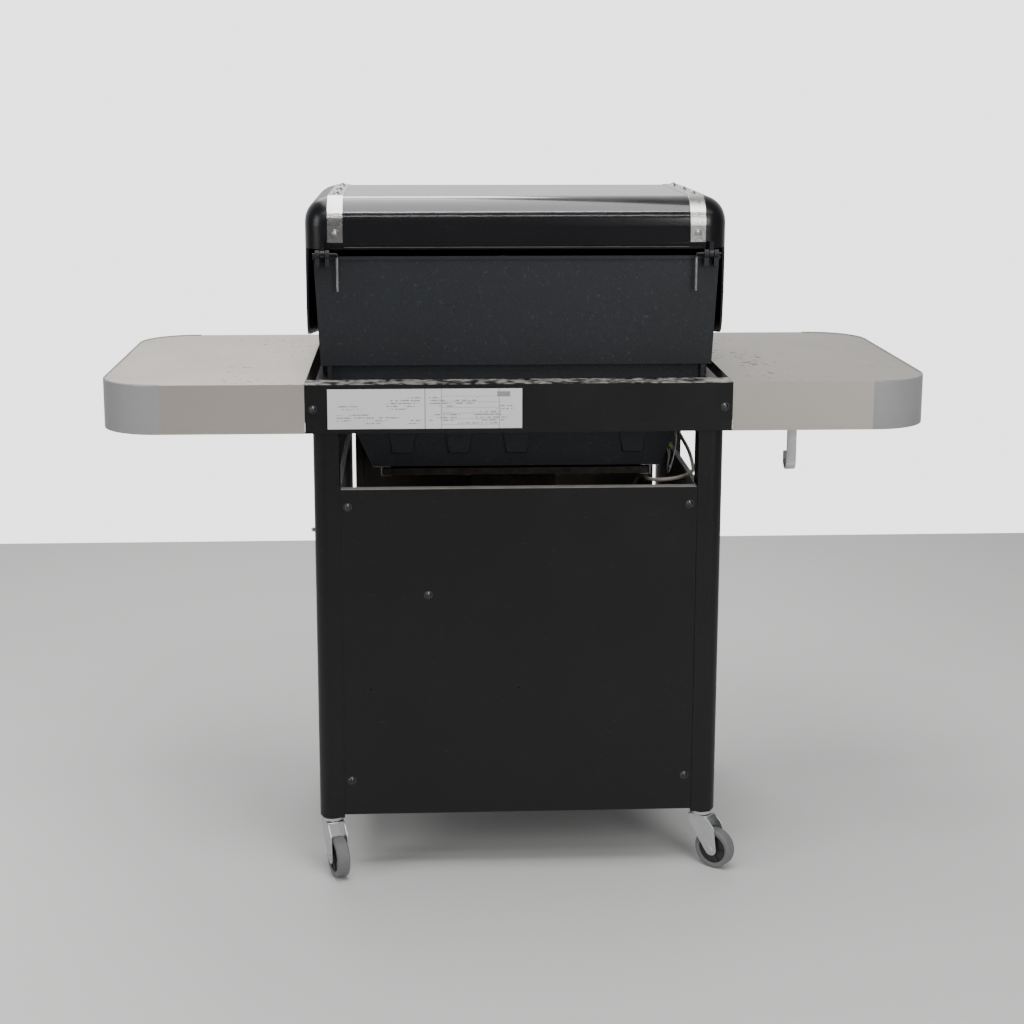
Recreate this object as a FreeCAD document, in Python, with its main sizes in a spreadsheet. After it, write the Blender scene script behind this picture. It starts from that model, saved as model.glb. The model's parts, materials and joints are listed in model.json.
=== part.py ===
import FreeCAD, Part
import math
import os

import Sketcher

# Gas barbecue grill on a cabinet cart: +Z up, front towards -Y, millimetres.
# The origin is on the floor, at the centre of the whole grill's footprint.
# "Depth" below is a distance forward of the rear beam's back face, so a piece at depth d lies
# at y = rear - d.

doc = FreeCAD.newDocument("gas_grill")
sheet = doc.addObject("Spreadsheet::Sheet", "Sizes")
nodes = []


class Size:
    """A number together with the spreadsheet expression that gives it."""

    def __init__(self, number, text):
        self.number = float(number)
        self.text = text

    def __add__(self, other):
        return Size(self.number + number(other), f"({self.text} + {text(other)})")

    def __sub__(self, other):
        return Size(self.number - number(other), f"({self.text} - {text(other)})")

    def __rsub__(self, other):
        return Size(number(other) - self.number, f"({text(other)} - {self.text})")

    def __mul__(self, other):
        return Size(self.number * number(other), f"({self.text} * {text(other)})")

    def __truediv__(self, other):
        return Size(self.number / number(other), f"({self.text} / {text(other)})")

    def __neg__(self):
        return Size(-self.number, f"(0 - {self.text})")

    def __float__(self):
        return self.number

    __radd__ = __add__
    __rmul__ = __mul__


def number(value):
    return float(value)


def text(value):
    return value.text if isinstance(value, Size) else f"({float(value)!r})"


def size(alias, value):
    """Write one driving dimension to the spreadsheet and return it as a Size."""
    size.row += 1
    sheet.set(f"A{size.row}", alias)
    sheet.set(f"B{size.row}", repr(float(value)))
    sheet.setAlias(f"B{size.row}", alias)
    return Size(value, f"Sizes.{alias}")


size.row = 0

# ---------------------------------------------------------------- driving dimensions
overall_width = size("overall_width", 1524)
deck_height = size("deck_height", 943)
skin = size("sheet_thickness", 1.5)
running = size("running_clearance", 0.05)
seam = size("seam_gap", 0.5)

cart_depth = size("cart_depth", 598)
leg_side = size("leg_side", 47.5)
leg_radius = size("leg_corner_radius", 24)
leg_wall = size("leg_wall", 2)
leg_inset = size("leg_inset", 6)
leg_foot = size("leg_foot_height", 113)
socket_depth = size("caster_socket_depth", 30)
rail_height = size("rail_height", 40)
rail_width = size("rail_width", 20)
rail_drop = size("rail_drop", 5)

beam_height = size("beam_height", 90)
beam_overhang = size("beam_overhang", 12)
beam_flange = size("beam_flange", 50)
beam_sheet = size("beam_sheet", 1.5)

table_overhang = size("table_front_overhang", 36)
cap_length = size("end_cap_length", 115)
cap_radius = size("end_cap_radius", 106)
cap_wall = size("end_cap_wall", 4)
cap_proud = size("end_cap_proud", 1.5)
arm_side = size("table_arm_side", 28)

panel_drop = size("rear_panel_below_firebox", 18)
shelf_top = size("shelf_top", 139)
shelf_lip = size("shelf_lip", 20)
door_top_gap = size("door_top_gap", 2)
door_thickness = size("door_thickness", 20)
door_side_gap = size("door_side_gap", 8)
door_split = size("door_split_gap", 2)
door_pin_radius = size("door_pin_radius", 3)
pin_from_edge = size("door_pin_from_edge", 8)

box_width = size("cookbox_width", 747)
box_rear = size("cookbox_rear_depth", 100)
box_front_gap = size("cookbox_behind_cart_front", 19)
wall_height = size("cookbox_wall_height", 199)
seat_rise = size("cookbox_seat_over_tables", 21)
floor_drop = size("cookbox_floor_below_tables", 177)
box_wall = size("cookbox_wall", 6)
upper_taper = size("cookbox_upper_taper", 10.5)
seat_ledge = size("cookbox_seat_ledge", 5)
hopper_taper = size("cookbox_hopper_taper", 87)
rear_ledge = size("cookbox_rear_ledge", 8)
hopper_rear_run = size("hopper_rear_run", 10)
hopper_front_run = size("hopper_front_run", 54)
front_ledge = size("cookbox_front_ledge", 31)
seat_plate = size("cookbox_seat_plate", 3)
front_rim_rise = size("front_rim_rise", 11)
rim_flat = size("rear_rim_flat", 40)
cart_gap = size("cookbox_to_leg_gap", 2)

lid_reach = size("lid_side_reach", 16.5)
lid_rise = size("lid_top_over_rim", 107)
lid_front_gap = size("lid_front_reach", 25)
lid_sheet = size("lid_sheet", 1.5)
cap_sheet = size("lid_cap_wall", 4)
lid_rear_lift = size("lid_rear_edge_over_rim", 13)
lid_front_drop = size("lid_front_edge_below_seat", 6)
lid_roll = size("lid_rear_roll_radius", 52)
lid_brow = size("lid_front_radius", 125)
lid_shoulder = size("lid_shoulder_radius", 46)
strap_width = size("strap_width", 28)
strap_from_side = size("strap_from_lid_side", 57)
strap_sheet = size("strap_thickness", 1.5)
hinge_back = size("hinge_behind_cookbox", 14)
hinge_height = size("hinge_above_rim", 5)
hinge_radius = size("hinge_pin_radius", 2.4)
handle_standoff = size("handle_standoff", 45)
handle_radius = size("handle_radius", 12.5)

burner_drop = size("burner_below_tables", 63)
burner_pitch = size("burner_pitch", 200)
burner_radius = size("burner_radius", 12.7)
burner_wall = size("burner_wall", 1.2)
panel_front = size("control_panel_front", 26)
control_drop = size("control_panel_drop", 143)
manifold_drop = size("manifold_drop", 35)
manifold_radius = size("manifold_radius", 9.5)
stem_radius = size("valve_stem_radius", 3)
core_radius = size("valve_core_radius", 8)
knob_radius = size("knob_radius", 26)
knob_gap = size("knob_gap", 4)
button_radius = size("button_radius", 8)
igniter_x = size("igniter_from_centre", 290)

wheel_radius = size("wheel_radius", 38)
wheel_width = size("wheel_width", 25)
caster_trail = size("caster_trail", 32)
axle_radius = size("axle_radius", 4)
caster_stem = size("caster_stem_radius", 5.5)
tray_inset = size("tray_inside_hopper_side", 20)
drain_depth = size("drain_depth", 300)
tray_gap = size("tray_gap", 0.5)
tray_height = size("tray_height", 13)
hose_radius = size("hose_radius", 3.5)
lead_radius = size("igniter_lead_radius", 1.4)
pan_width = size("pan_width", 164)
pan_length = size("pan_length", 130)
pan_height = size("pan_height", 36)
doc.recompute()

# ---------------------------------------------------------------- derived dimensions
box_half = box_width / 2
leg_out = box_half + cart_gap
leg_in = leg_out - leg_side
leg_mid = leg_out - leg_side / 2
beam_half = leg_out + beam_overhang
table_in = beam_half + seam
table_out = overall_width / 2
lid_half = box_half + lid_reach
strap_centre = lid_half - strap_from_side
cart_front = leg_inset + cart_depth
table_depth = cart_front + table_overhang
box_front = cart_front - box_front_gap
box_depth = box_front - box_rear
lid_front = box_front + lid_front_gap
seat_height = deck_height + seat_rise
rim_height = seat_height + wall_height
floor_height = deck_height - floor_drop
lid_top = rim_height + lid_rise
lid_rear_bottom = rim_height + lid_rear_lift
lid_front_bottom = seat_height - lid_front_drop
burner_height = deck_height - burner_drop
control_bottom = deck_height - control_drop
door_top = control_bottom - door_top_gap
panel_top = floor_height - panel_drop
neck_half = box_half - upper_taper - seat_ledge
hopper_half = neck_half - hopper_taper
tray_half = hopper_half - tray_inset
front_leg_rear = cart_front - leg_side
rear_leg_front = leg_inset + leg_side
panel_face = cart_front + panel_front
hinge_depth = box_rear - hinge_back
hinge_z = rim_height + hinge_height
deck_under = deck_height - skin
skirt_bottom = deck_height - beam_height
rear = (lid_front + handle_standoff + handle_radius - wheel_radius) / 2


def back(depth):
    """The y of a plane that lies the given depth forward of the rear beam's back face."""
    return rear - depth


def depths(near, far):
    """A y span given by two depths."""
    return (back(far), back(near))


# ---------------------------------------------------------------- building helpers
def bind(obj, prop, value):
    """Tie a property to the spreadsheet where the value comes from it."""
    obj.setExpression(prop, text(value))


def place(obj, x=None, y=None, z=None):
    for letter, value in zip("xyz", (x, y, z)):
        if value is not None:
            bind(obj, f"Placement.Base.{letter}", value)


def box(name, x, y, z):
    """A block between two x, two y and two z values."""
    obj = doc.addObject("Part::Box", name)
    for prop, (low, high) in zip(("Length", "Width", "Height"), (x, y, z)):
        bind(obj, prop, high - low)
    place(obj, x[0], y[0], z[0])
    return obj


TURNS = {"x": (0, 1, 0, 90), "y": (1, 0, 0, -90), "z": (0, 0, 1, 0)}


def rod(name, radius, axis, span, x=None, y=None, z=None):
    """A cylinder along one axis between two values, centred on the other two coordinates."""
    obj = doc.addObject("Part::Cylinder", name)
    bind(obj, "Radius", radius)
    bind(obj, "Height", span[1] - span[0])
    ax, ay, az, angle = TURNS[axis]
    obj.Placement = FreeCAD.Placement(
        FreeCAD.Vector(), FreeCAD.Rotation(FreeCAD.Vector(ax, ay, az), angle)
    )
    at = {"x": x, "y": y, "z": z}
    at[axis] = span[0]
    place(obj, at["x"], at["y"], at["z"])
    return obj


def frustum(name, low_z, low, high_z, high):
    """A block whose bottom and top rectangles, (half width, y front, y rear), differ."""
    obj = doc.addObject("Part::Wedge", name)
    obj.Placement = FreeCAD.Placement(
        FreeCAD.Vector(), FreeCAD.Rotation(FreeCAD.Vector(1, 0, 0), 90)
    )
    for prop, value in (("Ymin", low_z), ("Ymax", high_z)):
        bind(obj, prop, value)
    for stem, (half, front, rear_y) in (("", low), ("2", high)):
        bind(obj, f"X{stem}min", -half)
        bind(obj, f"X{stem}max", half)
        bind(obj, f"Z{stem}min", -rear_y)
        bind(obj, f"Z{stem}max", -front)
    return obj


def outline_sketch(body, name, plane, outline):
    """A closed polygon on one of the body's own planes, each corner held by two dimensions."""
    sketch = body.newObject("Sketcher::SketchObject", name)
    support = next(f for f in body.Origin.OriginFeatures if f.Role == plane + "_Plane")
    sketch.AttachmentSupport = [(support, "")]
    sketch.MapMode = "FlatFace"
    corners = [FreeCAD.Vector(number(a), number(b), 0) for a, b in outline]
    count = len(corners)
    for i in range(count):
        sketch.addGeometry(Part.LineSegment(corners[i], corners[(i + 1) % count]))
    for i in range(count):
        sketch.addConstraint(Sketcher.Constraint("Coincident", i, 2, (i + 1) % count, 1))
    for i, corner in enumerate(outline):
        for kind, value in zip(("DistanceX", "DistanceY"), corner):
            index = sketch.addConstraint(
                Sketcher.Constraint(kind, -1, 1, i, 1, number(value))
            )
            sketch.renameConstraint(index, f"{kind[-1].lower()}{i}")
            sketch.setExpression(f"Constraints.{kind[-1].lower()}{i}", text(value))
    return sketch


def prism(name, plane, outline, span):
    """A body made by padding a polygon: plane XY, XZ or YZ, between two values of its normal."""
    body = doc.addObject("PartDesign::Body", name)
    sketch = outline_sketch(body, name + "_outline", plane, outline)
    start = -span[1] if plane == "XZ" else span[0]
    bind(sketch, "AttachmentOffset.Base.z", start)
    pad = body.newObject("PartDesign::Pad", name + "_pad")
    pad.Profile = sketch
    bind(pad, "Length", span[1] - span[0])
    return body


def round_edges(body, radius, chosen):
    """Round the edges of a body that the chosen test picks by their middle point."""
    doc.recompute()
    tip = body.Tip
    names = []
    for i, edge in enumerate(tip.Shape.Edges):
        middle = edge.valueAt((edge.FirstParameter + edge.LastParameter) / 2)
        if chosen(edge, middle):
            names.append(f"Edge{i + 1}")
    fillet = body.newObject("PartDesign::Fillet", body.Name + "_round")
    fillet.Base = (tip, names)
    bind(fillet, "Radius", radius)
    return body


def upright(edge):
    return abs(edge.tangentAt(edge.FirstParameter).z) > 0.99


def join(name, *pieces):
    obj = doc.addObject("Part::MultiFuse", name)
    obj.Shapes = list(pieces)
    obj.Refine = True
    return obj


def cut(name, base, *tools):
    obj = doc.addObject("Part::Cut", name)
    obj.Base = base
    obj.Tool = tools[0] if len(tools) == 1 else join(name + "_tools", *tools)
    return obj


def group(name, *pieces):
    obj = doc.addObject("Part::Compound", name)
    obj.Links = list(pieces)
    return obj


def mirror(name, piece):
    """The same piece on the other side of the grill's middle plane."""
    obj = doc.addObject("Part::Mirroring", name)
    obj.Source = piece
    obj.Normal = (1, 0, 0)
    return obj


def feature(name, shape):
    """A piece whose shape is worked out with Part's own functions."""
    obj = doc.addObject("Part::Feature", name)
    obj.Shape = shape
    obj.Placement = FreeCAD.Placement()
    return obj


def node(label, obj):
    obj.Label = label
    nodes.append(obj)
    return obj


def bent_tube(name, radius, points, bend):
    """A round tube along straight runs that are joined by tangent arcs.

    bend is the arc radius; None gives 0.45 of the shorter run over the tangent of half the turn.
    """
    points = [FreeCAD.Vector(*(number(c) for c in p)) for p in points]
    edges = []
    start = points[0]
    length = 0.0
    for before, corner, after in zip(points, points[1:], points[2:]):
        arrive = (corner - before).normalize()
        leave = (after - corner).normalize()
        half_turn = arrive.getAngle(leave) / 2
        shorter = min((corner - before).Length, (after - corner).Length)
        arc_radius = bend or 0.45 * shorter / math.tan(half_turn)
        reach = arc_radius * math.tan(half_turn)
        first = corner - arrive * reach
        last = corner + leave * reach
        towards = (leave - arrive).normalize()
        sagitta = arc_radius * (1 / math.cos(half_turn) - 1)
        middle = corner + towards * sagitta
        edges.append(Part.LineSegment(start, first).toShape())
        edges.append(Part.Arc(first, middle, last).toShape())
        length += (first - start).Length + 2 * half_turn * arc_radius
        start = last
        print(name, "bend radius", round(arc_radius, 1))
    edges.append(Part.LineSegment(start, points[-1]).toShape())
    length += (points[-1] - start).Length
    path = Part.Wire(edges)
    ring = Part.Wire([Part.makeCircle(number(radius), points[0], points[1] - points[0])])
    tube = path.makePipeShell([ring], True, False)
    expected = math.pi * number(radius) ** 2 * length
    print(name, "length", round(length), "volume ratio", round(tube.Volume / expected, 4))
    return tube


# ---------------------------------------------------------------- cart
def legs():
    """Four square tubes with one quarter-round outer corner and a solid socket for the caster."""
    def tube(name, near, far, rear_side):
        def shell(part_name, inset, bottom):
            body = prism(
                part_name,
                "XY",
                [
                    (leg_in + inset, back(far) + inset),
                    (leg_out - inset, back(far) + inset),
                    (leg_out - inset, back(near) - inset),
                    (leg_in + inset, back(near) - inset),
                ],
                (bottom, deck_height - beam_sheet),
            )
            corner_y = number(back(near) - inset if rear_side else back(far) + inset)
            corner_x = number(leg_out - inset)

            def outer_corner(edge, middle):
                return (
                    upright(edge)
                    and abs(middle.x - corner_x) < 0.1
                    and abs(middle.y - corner_y) < 0.1
                )

            return round_edges(body, leg_radius - inset, outer_corner)

        socket = rod(
            name + "_socket",
            caster_stem + running,
            "z",
            (leg_foot - 1, leg_foot + socket_depth + 2),
            leg_mid,
            (back(near) + back(far)) / 2,
        )
        return cut(
            name,
            shell(name + "_outer", 0, leg_foot),
            shell(name + "_inner", leg_wall, leg_foot + socket_depth),
            socket,
        )

    rear_right = tube("rear_leg", leg_inset, rear_leg_front, True)
    front_right = tube("front_leg", front_leg_rear, cart_front, False)
    node("rear_legs", group("rear_legs", rear_right, mirror("rear_leg_mirror", rear_right)))
    node("front_legs", group("front_legs", front_right, mirror("front_leg_mirror", front_right)))


def rear_beam():
    """A folded channel across the back, with a packing plate behind it at each leg."""
    low = skirt_bottom
    channel = prism(
        "beam_channel",
        "YZ",
        [
            (back(0), low),
            (back(0), deck_height),
            (back(beam_flange), deck_height),
            (back(beam_flange), deck_height - beam_sheet),
            (back(beam_sheet), deck_height - beam_sheet),
            (back(beam_sheet), low + beam_sheet),
            (back(leg_inset), low + beam_sheet),
            (back(leg_inset), low),
        ],
        (-beam_half, beam_half),
    )
    plate = box(
        "beam_plate",
        (leg_in, leg_out),
        depths(beam_sheet, leg_inset),
        (low + beam_sheet, deck_height - beam_sheet),
    )
    node("rear_beam", join("rear_beam", channel, plate, mirror("beam_plate_mirror", plate)))


def frame_rails():
    """Side rails that carry the cookbox, and the front rail over the doors."""
    top = deck_height - rail_drop
    outer_x = leg_out - (leg_side - rail_width) / 2 + 10
    side = cut(
        "side_rail",
        box(
            "side_rail_outer",
            (outer_x - rail_width, outer_x),
            depths(rear_leg_front, front_leg_rear),
            (top - rail_height, top),
        ),
        box(
            "side_rail_inner",
            (outer_x - rail_width + leg_wall, outer_x - leg_wall),
            depths(rear_leg_front, front_leg_rear),
            (top - rail_height + leg_wall, top - leg_wall),
        ),
    )
    low = control_bottom + skin
    front = cut(
        "front_rail",
        box("front_rail_outer", (-leg_in, leg_in), depths(cart_front - 29, cart_front - 4), (low, low + 25)),
        box(
            "front_rail_inner",
            (-leg_in, leg_in),
            depths(cart_front - 27, cart_front - 6),
            (low + leg_wall, low + 25 - leg_wall),
        ),
        *door_pin_holes("rail", (low - 1, low + leg_wall + 1)),
    )
    node("frame_rails", group("frame_rails", side, mirror("side_rail_mirror", side), front))


def door_pin_holes(name, span):
    """The two holes that a sheet needs for the doors' pins."""
    x = leg_in - door_side_gap - pin_from_edge
    return [
        rod(
            f"{name}_pin_hole_{side}",
            door_pin_radius + running,
            "z",
            span,
            sign * x,
            back(cart_front - door_thickness / 2),
        )
        for side, sign in (("left", -1), ("right", 1))
    ]


def cabinet():
    """Rear panel with a folded top lip, side panels with a screw flange, and the bottom shelf."""
    near = leg_inset + 1
    half = leg_in - skin - 0.8
    sheet_body = prism(
        "rear_sheet",
        "YZ",
        [
            (back(near), shelf_top),
            (back(near), panel_top),
            (back(near + 18), panel_top),
            (back(near + 18), panel_top - skin),
            (back(near + skin), panel_top - skin),
            (back(near + skin), shelf_top),
        ],
        (-half, half),
    )
    fixing_holes = [
        rod(f"rear_hole_{i}", 1.6, "y", depths(near - 1, near + 3), x, None, panel_top - 383)
        for i, x in enumerate((50 - half, 0, half - 50))
    ]
    node("rear_panel", cut("rear_panel", sheet_body, *fixing_holes))

    flange = 28
    inner = near + skin
    side = prism(
        "side_panel_right",
        "XY",
        [
            (leg_in - skin, back(cart_front - 14)),
            (leg_in, back(cart_front - 14)),
            (leg_in, back(inner)),
            (leg_in - flange, back(inner)),
            (leg_in - flange, back(inner + skin)),
            (leg_in - skin, back(inner + skin)),
        ],
        (shelf_top, panel_top - skin),
    )
    lip = box(
        "side_panel_lip",
        (leg_in - skin, leg_in + 8),
        depths(rear_leg_front, front_leg_rear),
        (panel_top - 2 * skin, panel_top - skin),
    )
    side = join("side_panel_lipped", side, lip)
    node("side_panels", group("side_panels", side, mirror("side_panel_left", side)))

    low = shelf_top - shelf_lip
    shelf = cut(
        "shelf",
        box("shelf_outer", (-leg_in, leg_in), depths(near, cart_front - 2), (low, shelf_top)),
        box(
            "shelf_inner",
            (-leg_in + skin, leg_in - skin),
            depths(near + skin, cart_front - 2 - skin),
            (low - 1, shelf_top - skin),
        ),
        *door_pin_holes("shelf", (shelf_top - skin - 1, shelf_top + 1)),
    )
    node("bottom_shelf", shelf)


def frame_screws():
    """Washer-headed screws that hold the beam and the rear panel."""
    head = 4
    fixings = [
        (sign * (beam_half - 14), deck_height - beam_height / 2, 0)
        for sign in (-1, 1)
    ]
    near = leg_inset + 1
    fixings += [
        (sign * (leg_in - 14), z, near)
        for sign in (-1, 1)
        for z in (panel_top - 33, shelf_top + 48)
    ]
    fixings.append((leg_in - 160, panel_top - 201, near))
    screws = []
    for i, (x, z, depth) in enumerate(fixings):
        washer = rod(f"screw_washer_{i}", 8, "y", depths(depth - 1, depth), x, None, z)
        dome = doc.addObject("Part::Cone", f"screw_dome_{i}")
        dome.Radius1 = 6
        dome.Radius2 = 4
        dome.Height = head
        dome.Placement = FreeCAD.Placement(
            FreeCAD.Vector(), FreeCAD.Rotation(FreeCAD.Vector(1, 0, 0), -90)
        )
        place(dome, x, back(depth - 1), z)
        screws.append(join(f"frame_screw_{i}", washer, dome))
    node("frame_screws", group("frame_screws", *screws))
    label = box(
        "rear_label",
        (-4, leg_in + 19),
        depths(-0.3, 0),
        (skirt_bottom + 8, deck_height - 9),
    )
    node("rear_label", label)


def side_tables():
    """Folded stainless tops on two arms each, with a wrapped cap round the outer end."""
    cap_start = table_out - cap_length
    channel = prism(
        "table_channel",
        "YZ",
        [
            (back(0), skirt_bottom),
            (back(0), deck_height),
            (back(table_depth), deck_height),
            (back(table_depth), skirt_bottom),
            (back(table_depth - 10), skirt_bottom),
            (back(table_depth - 10), skirt_bottom + skin),
            (back(table_depth - skin), skirt_bottom + skin),
            (back(table_depth - skin), deck_under),
            (back(skin), deck_under),
            (back(skin), skirt_bottom + skin),
            (back(10), skirt_bottom + skin),
            (back(10), skirt_bottom),
        ],
        (table_in, cap_start),
    )
    inset = cap_wall + 0.3
    tongue = prism(
        "table_tongue",
        "XY",
        [
            (cap_start - 5, back(table_depth - inset)),
            (table_out - inset, back(table_depth - inset)),
            (table_out - inset, back(inset)),
            (cap_start - 5, back(inset)),
        ],
        (deck_under, deck_height),
    )
    tongue_end = number(table_out - inset)
    round_edges(tongue, cap_radius - inset, lambda e, m: upright(e) and abs(m.x - tongue_end) < 0.1)
    hem = box(
        "table_inner_hem",
        (table_in, table_in + skin),
        depths(skin, table_depth - skin),
        (skirt_bottom + 20, deck_under),
    )
    skin_part = join("table_skin", channel, tongue, hem)
    arms = []
    for name, near in (("rear", leg_inset + 10), ("front", cart_front - 10 - arm_side)):
        low = deck_under - arm_side
        arms.append(
            cut(
                f"table_arm_{name}",
                box(
                    f"table_arm_{name}_outer",
                    (leg_out, table_out - 60),
                    depths(near, near + arm_side),
                    (low, deck_under),
                ),
                box(
                    f"table_arm_{name}_inner",
                    (leg_out - 1, table_out - 59),
                    depths(near + leg_wall, near + arm_side - leg_wall),
                    (low + leg_wall, deck_under - leg_wall),
                ),
            )
        )
    slots = [
        box(
            f"table_hem_slot_{name}",
            (table_in - 1, table_in + skin + 1),
            depths(near - 0.3, near + arm_side + 0.3),
            (deck_under - arm_side - 0.3, deck_under),
        )
        for name, near in (("rear", leg_inset + 10), ("front", cart_front - 10 - arm_side))
    ]
    right = group("side_table_right", cut("table_skin_slotted", skin_part, *slots), *arms)
    node("side_table_right", right)
    node("side_table_left", mirror("side_table_left", right))

    def cap_block(name, inset_by, start, span):
        body = prism(
            name,
            "XY",
            [
                (start, back(table_depth - inset_by)),
                (table_out - inset_by, back(table_depth - inset_by)),
                (table_out - inset_by, back(inset_by)),
                (start, back(inset_by)),
            ],
            span,
        )
        end = number(table_out - inset_by)
        return round_edges(
            body, cap_radius - inset_by, lambda e, m: upright(e) and abs(m.x - end) < 0.1
        )

    outer = cap_block("cap_outer", 0, cap_start, (skirt_bottom, deck_height + cap_proud))
    top_edge = number(deck_height + cap_proud)
    start_x = number(cap_start)
    round_edges(
        outer, 3, lambda e, m: abs(m.z - top_edge) < 0.1 and not upright(e) and m.x > start_x + 1
    )
    inner = cap_block(
        "cap_inner", cap_wall, cap_start - 5, (skirt_bottom - 1, deck_height + cap_proud + 1)
    )
    cap = cut("end_cap_right", outer, inner)
    node("table_end_caps", group("table_end_caps", cap, mirror("end_cap_left", cap)))


# ---------------------------------------------------------------- firebox
def seat_rect(inset):
    half = neck_half - inset
    return (half, back(box_front - front_ledge - inset), back(box_rear + rear_ledge + inset))


def hopper_rect(inset):
    half = hopper_half - inset
    front = box_front - front_ledge - hopper_front_run - inset
    return (half, back(front), back(box_rear + rear_ledge + hopper_rear_run + inset))


def upper_rect(inset, at_rim):
    half = box_half - inset if at_rim else box_half - upper_taper - inset
    return (half, back(box_front - inset), back(box_rear + inset))


def cookbox():
    """Cast firebox: a tapered hopper, a stepped-out upper wall and a rim that falls to the front."""
    hopper = frustum("hopper_outer", floor_height, hopper_rect(0), seat_height, seat_rect(0))
    upper = frustum(
        "upper_outer", seat_height, upper_rect(0, False), rim_height, upper_rect(0, True)
    )
    above_rim = prism(
        "above_rim",
        "YZ",
        [
            (back(box_rear + rim_flat), rim_height),
            (back(box_front), seat_height + front_rim_rise),
            (back(box_front + 10), seat_height + front_rim_rise),
            (back(box_front + 10), rim_height + 10),
            (back(box_rear + rim_flat), rim_height + 10),
        ],
        (-box_half - 10, box_half + 10),
    )
    seat = frustum(
        "seat_plate", seat_height - seat_plate, upper_rect(0, False), seat_height, upper_rect(0, False)
    )
    bead = box(
        "rim_bead",
        (-box_half - 1.5, box_half + 1.5),
        depths(box_rear - 3, box_rear + box_wall),
        (rim_height - 6, rim_height),
    )
    solids = [cut("upper_sloped", upper, above_rim), hopper, seat, bead]

    pad_top = floor_height + 67
    for i, share in enumerate((-0.81, 0, 0.40, 0.79)):
        x = hopper_half * share
        solids.append(
            prism(
                f"rear_pad_{i}",
                "XZ",
                [
                    (x - 25, pad_top),
                    (x - 18, pad_top - 40),
                    (x + 18, pad_top - 40),
                    (x + 25, pad_top),
                ],
                depths(box_rear + rear_ledge + 4, box_rear + rear_ledge + 10),
            )
        )
    neck = neck_half
    rail_top = deck_height - rail_drop
    for side, sign in (("left", -1), ("right", 1)):
        rib = (neck - 15, neck - 7)
        x = rib if sign > 0 else (-rib[1], -rib[0])
        solids.append(
            box(
                f"rear_rib_{side}",
                x,
                depths(box_rear + 1, box_rear + rear_ledge + 6),
                (seat_height - 60, seat_height),
            )
        )
        for place_name, near in (("rear", 50), ("front", box_depth - 105)):
            foot = (neck - 10, neck + 4)
            x = foot if sign > 0 else (-foot[1], -foot[0])
            solids.append(
                box(
                    f"foot_{place_name}_{side}",
                    x,
                    depths(box_rear + near, box_rear + near + 40),
                    (rail_top, seat_height + 2),
                )
            )
        for lug_name, start in (("inner", 10), ("outer", 28)):
            lug_x = lid_half - 57 + start
            solids += hinge_lug(f"box_lug_{lug_name}_{side}", sign, lug_x, 8, -1)

    hollow = join(
        "hollow",
        frustum(
            "hopper_inner",
            floor_height + box_wall,
            hopper_rect(box_wall),
            seat_height,
            seat_rect(box_wall),
        ),
        frustum(
            "upper_inner",
            seat_height,
            upper_rect(box_wall, False),
            rim_height + 1,
            upper_rect(box_wall, True),
        ),
    )
    ledges = [
        box(
            "deflector_ledge_rear",
            (-neck + 50, neck - 50),
            depths(box_rear + rear_ledge + 4, box_rear + rear_ledge + 22),
            (seat_height - 56, seat_height - 46),
        ),
        box(
            "deflector_ledge_front",
            (-neck + 50, neck - 50),
            depths(box_front - front_ledge - 36, box_front - front_ledge - 18),
            (seat_height - 56, seat_height - 46),
        ),
    ]
    grease_slot = box(
        "grease_slot",
        (-hopper_half + 73, hopper_half - 73),
        depths(box_rear + 100, box_front - 145),
        (floor_height - 1, floor_height + box_wall + 1),
    )
    burner_holes = [
        rod(
            f"burner_hole_{i}",
            burner_radius + 0.3,
            "y",
            depths(box_front - 70, box_front - 5),
            burner_pitch * i,
            None,
            burner_height,
        )
        for i in (-1, 0, 1)
    ]
    pin_holes = [
        rod(
            f"hinge_bore_{side}",
            hinge_radius + running,
            "x",
            span,
            None,
            back(hinge_depth),
            hinge_z,
        )
        for side, span in (
            ("right", (lid_half - 60, lid_half)),
            ("left", (-lid_half, -lid_half + 60)),
        )
    ]
    shell = cut("cookbox_shell", join("cookbox_outer", *solids), hollow, grease_slot)
    with_ledges = join("cookbox_ledged", shell, *ledges)
    node("cookbox", cut("cookbox", with_ledges, *burner_holes, *pin_holes))


def hinge_lug(name, sign, start, width, side_up):
    """A round eye about the hinge axis with a web to the wall in front of it."""
    x = (start, start + width) if sign > 0 else (-(start + width), -start)
    eye = rod(name + "_eye", 8, "x", x, None, back(hinge_depth), hinge_z)
    if side_up > 0:
        z = (hinge_z, hinge_z + 20)
        web_depths = depths(hinge_depth - 4, box_rear + 6)
    else:
        z = (hinge_z - 22, hinge_z)
        web_depths = depths(hinge_depth - 4, box_rear + 3)
    return [eye, box(name + "_web", x, web_depths, z)]


def burners():
    """Three straight tubes from the valves to the back of the firebox."""
    tubes = []
    for i in (-1, 0, 1):
        rear_end = box_rear + 60
        tube = cut(
            f"burner_{i + 2}",
            rod(
                f"burner_outer_{i + 2}",
                burner_radius,
                "y",
                depths(rear_end, cart_front - 38),
                burner_pitch * i,
                None,
                burner_height,
            ),
            rod(
                f"burner_inner_{i + 2}",
                burner_radius - burner_wall,
                "y",
                depths(rear_end + 4, cart_front - 37),
                burner_pitch * i,
                None,
                burner_height,
            ),
        )
        tubes.append(tube)
    node("burner_tubes", group("burner_tubes", *tubes))

    tents = []
    base = seat_height - 46
    for i in range(-2, 3):
        x = burner_pitch * (0.6 * i)
        tents.append(
            prism(
                f"tent_{i + 3}",
                "XZ",
                [
                    (x - 28, base),
                    (x, base + 30),
                    (x + 28, base),
                    (x + 25.5, base),
                    (x, base + 27.3),
                    (x - 25.5, base),
                ],
                depths(box_rear + 20, box_front - front_ledge - 22),
            )
        )
    node("heat_deflectors", group("heat_deflectors", *tents))


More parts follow.
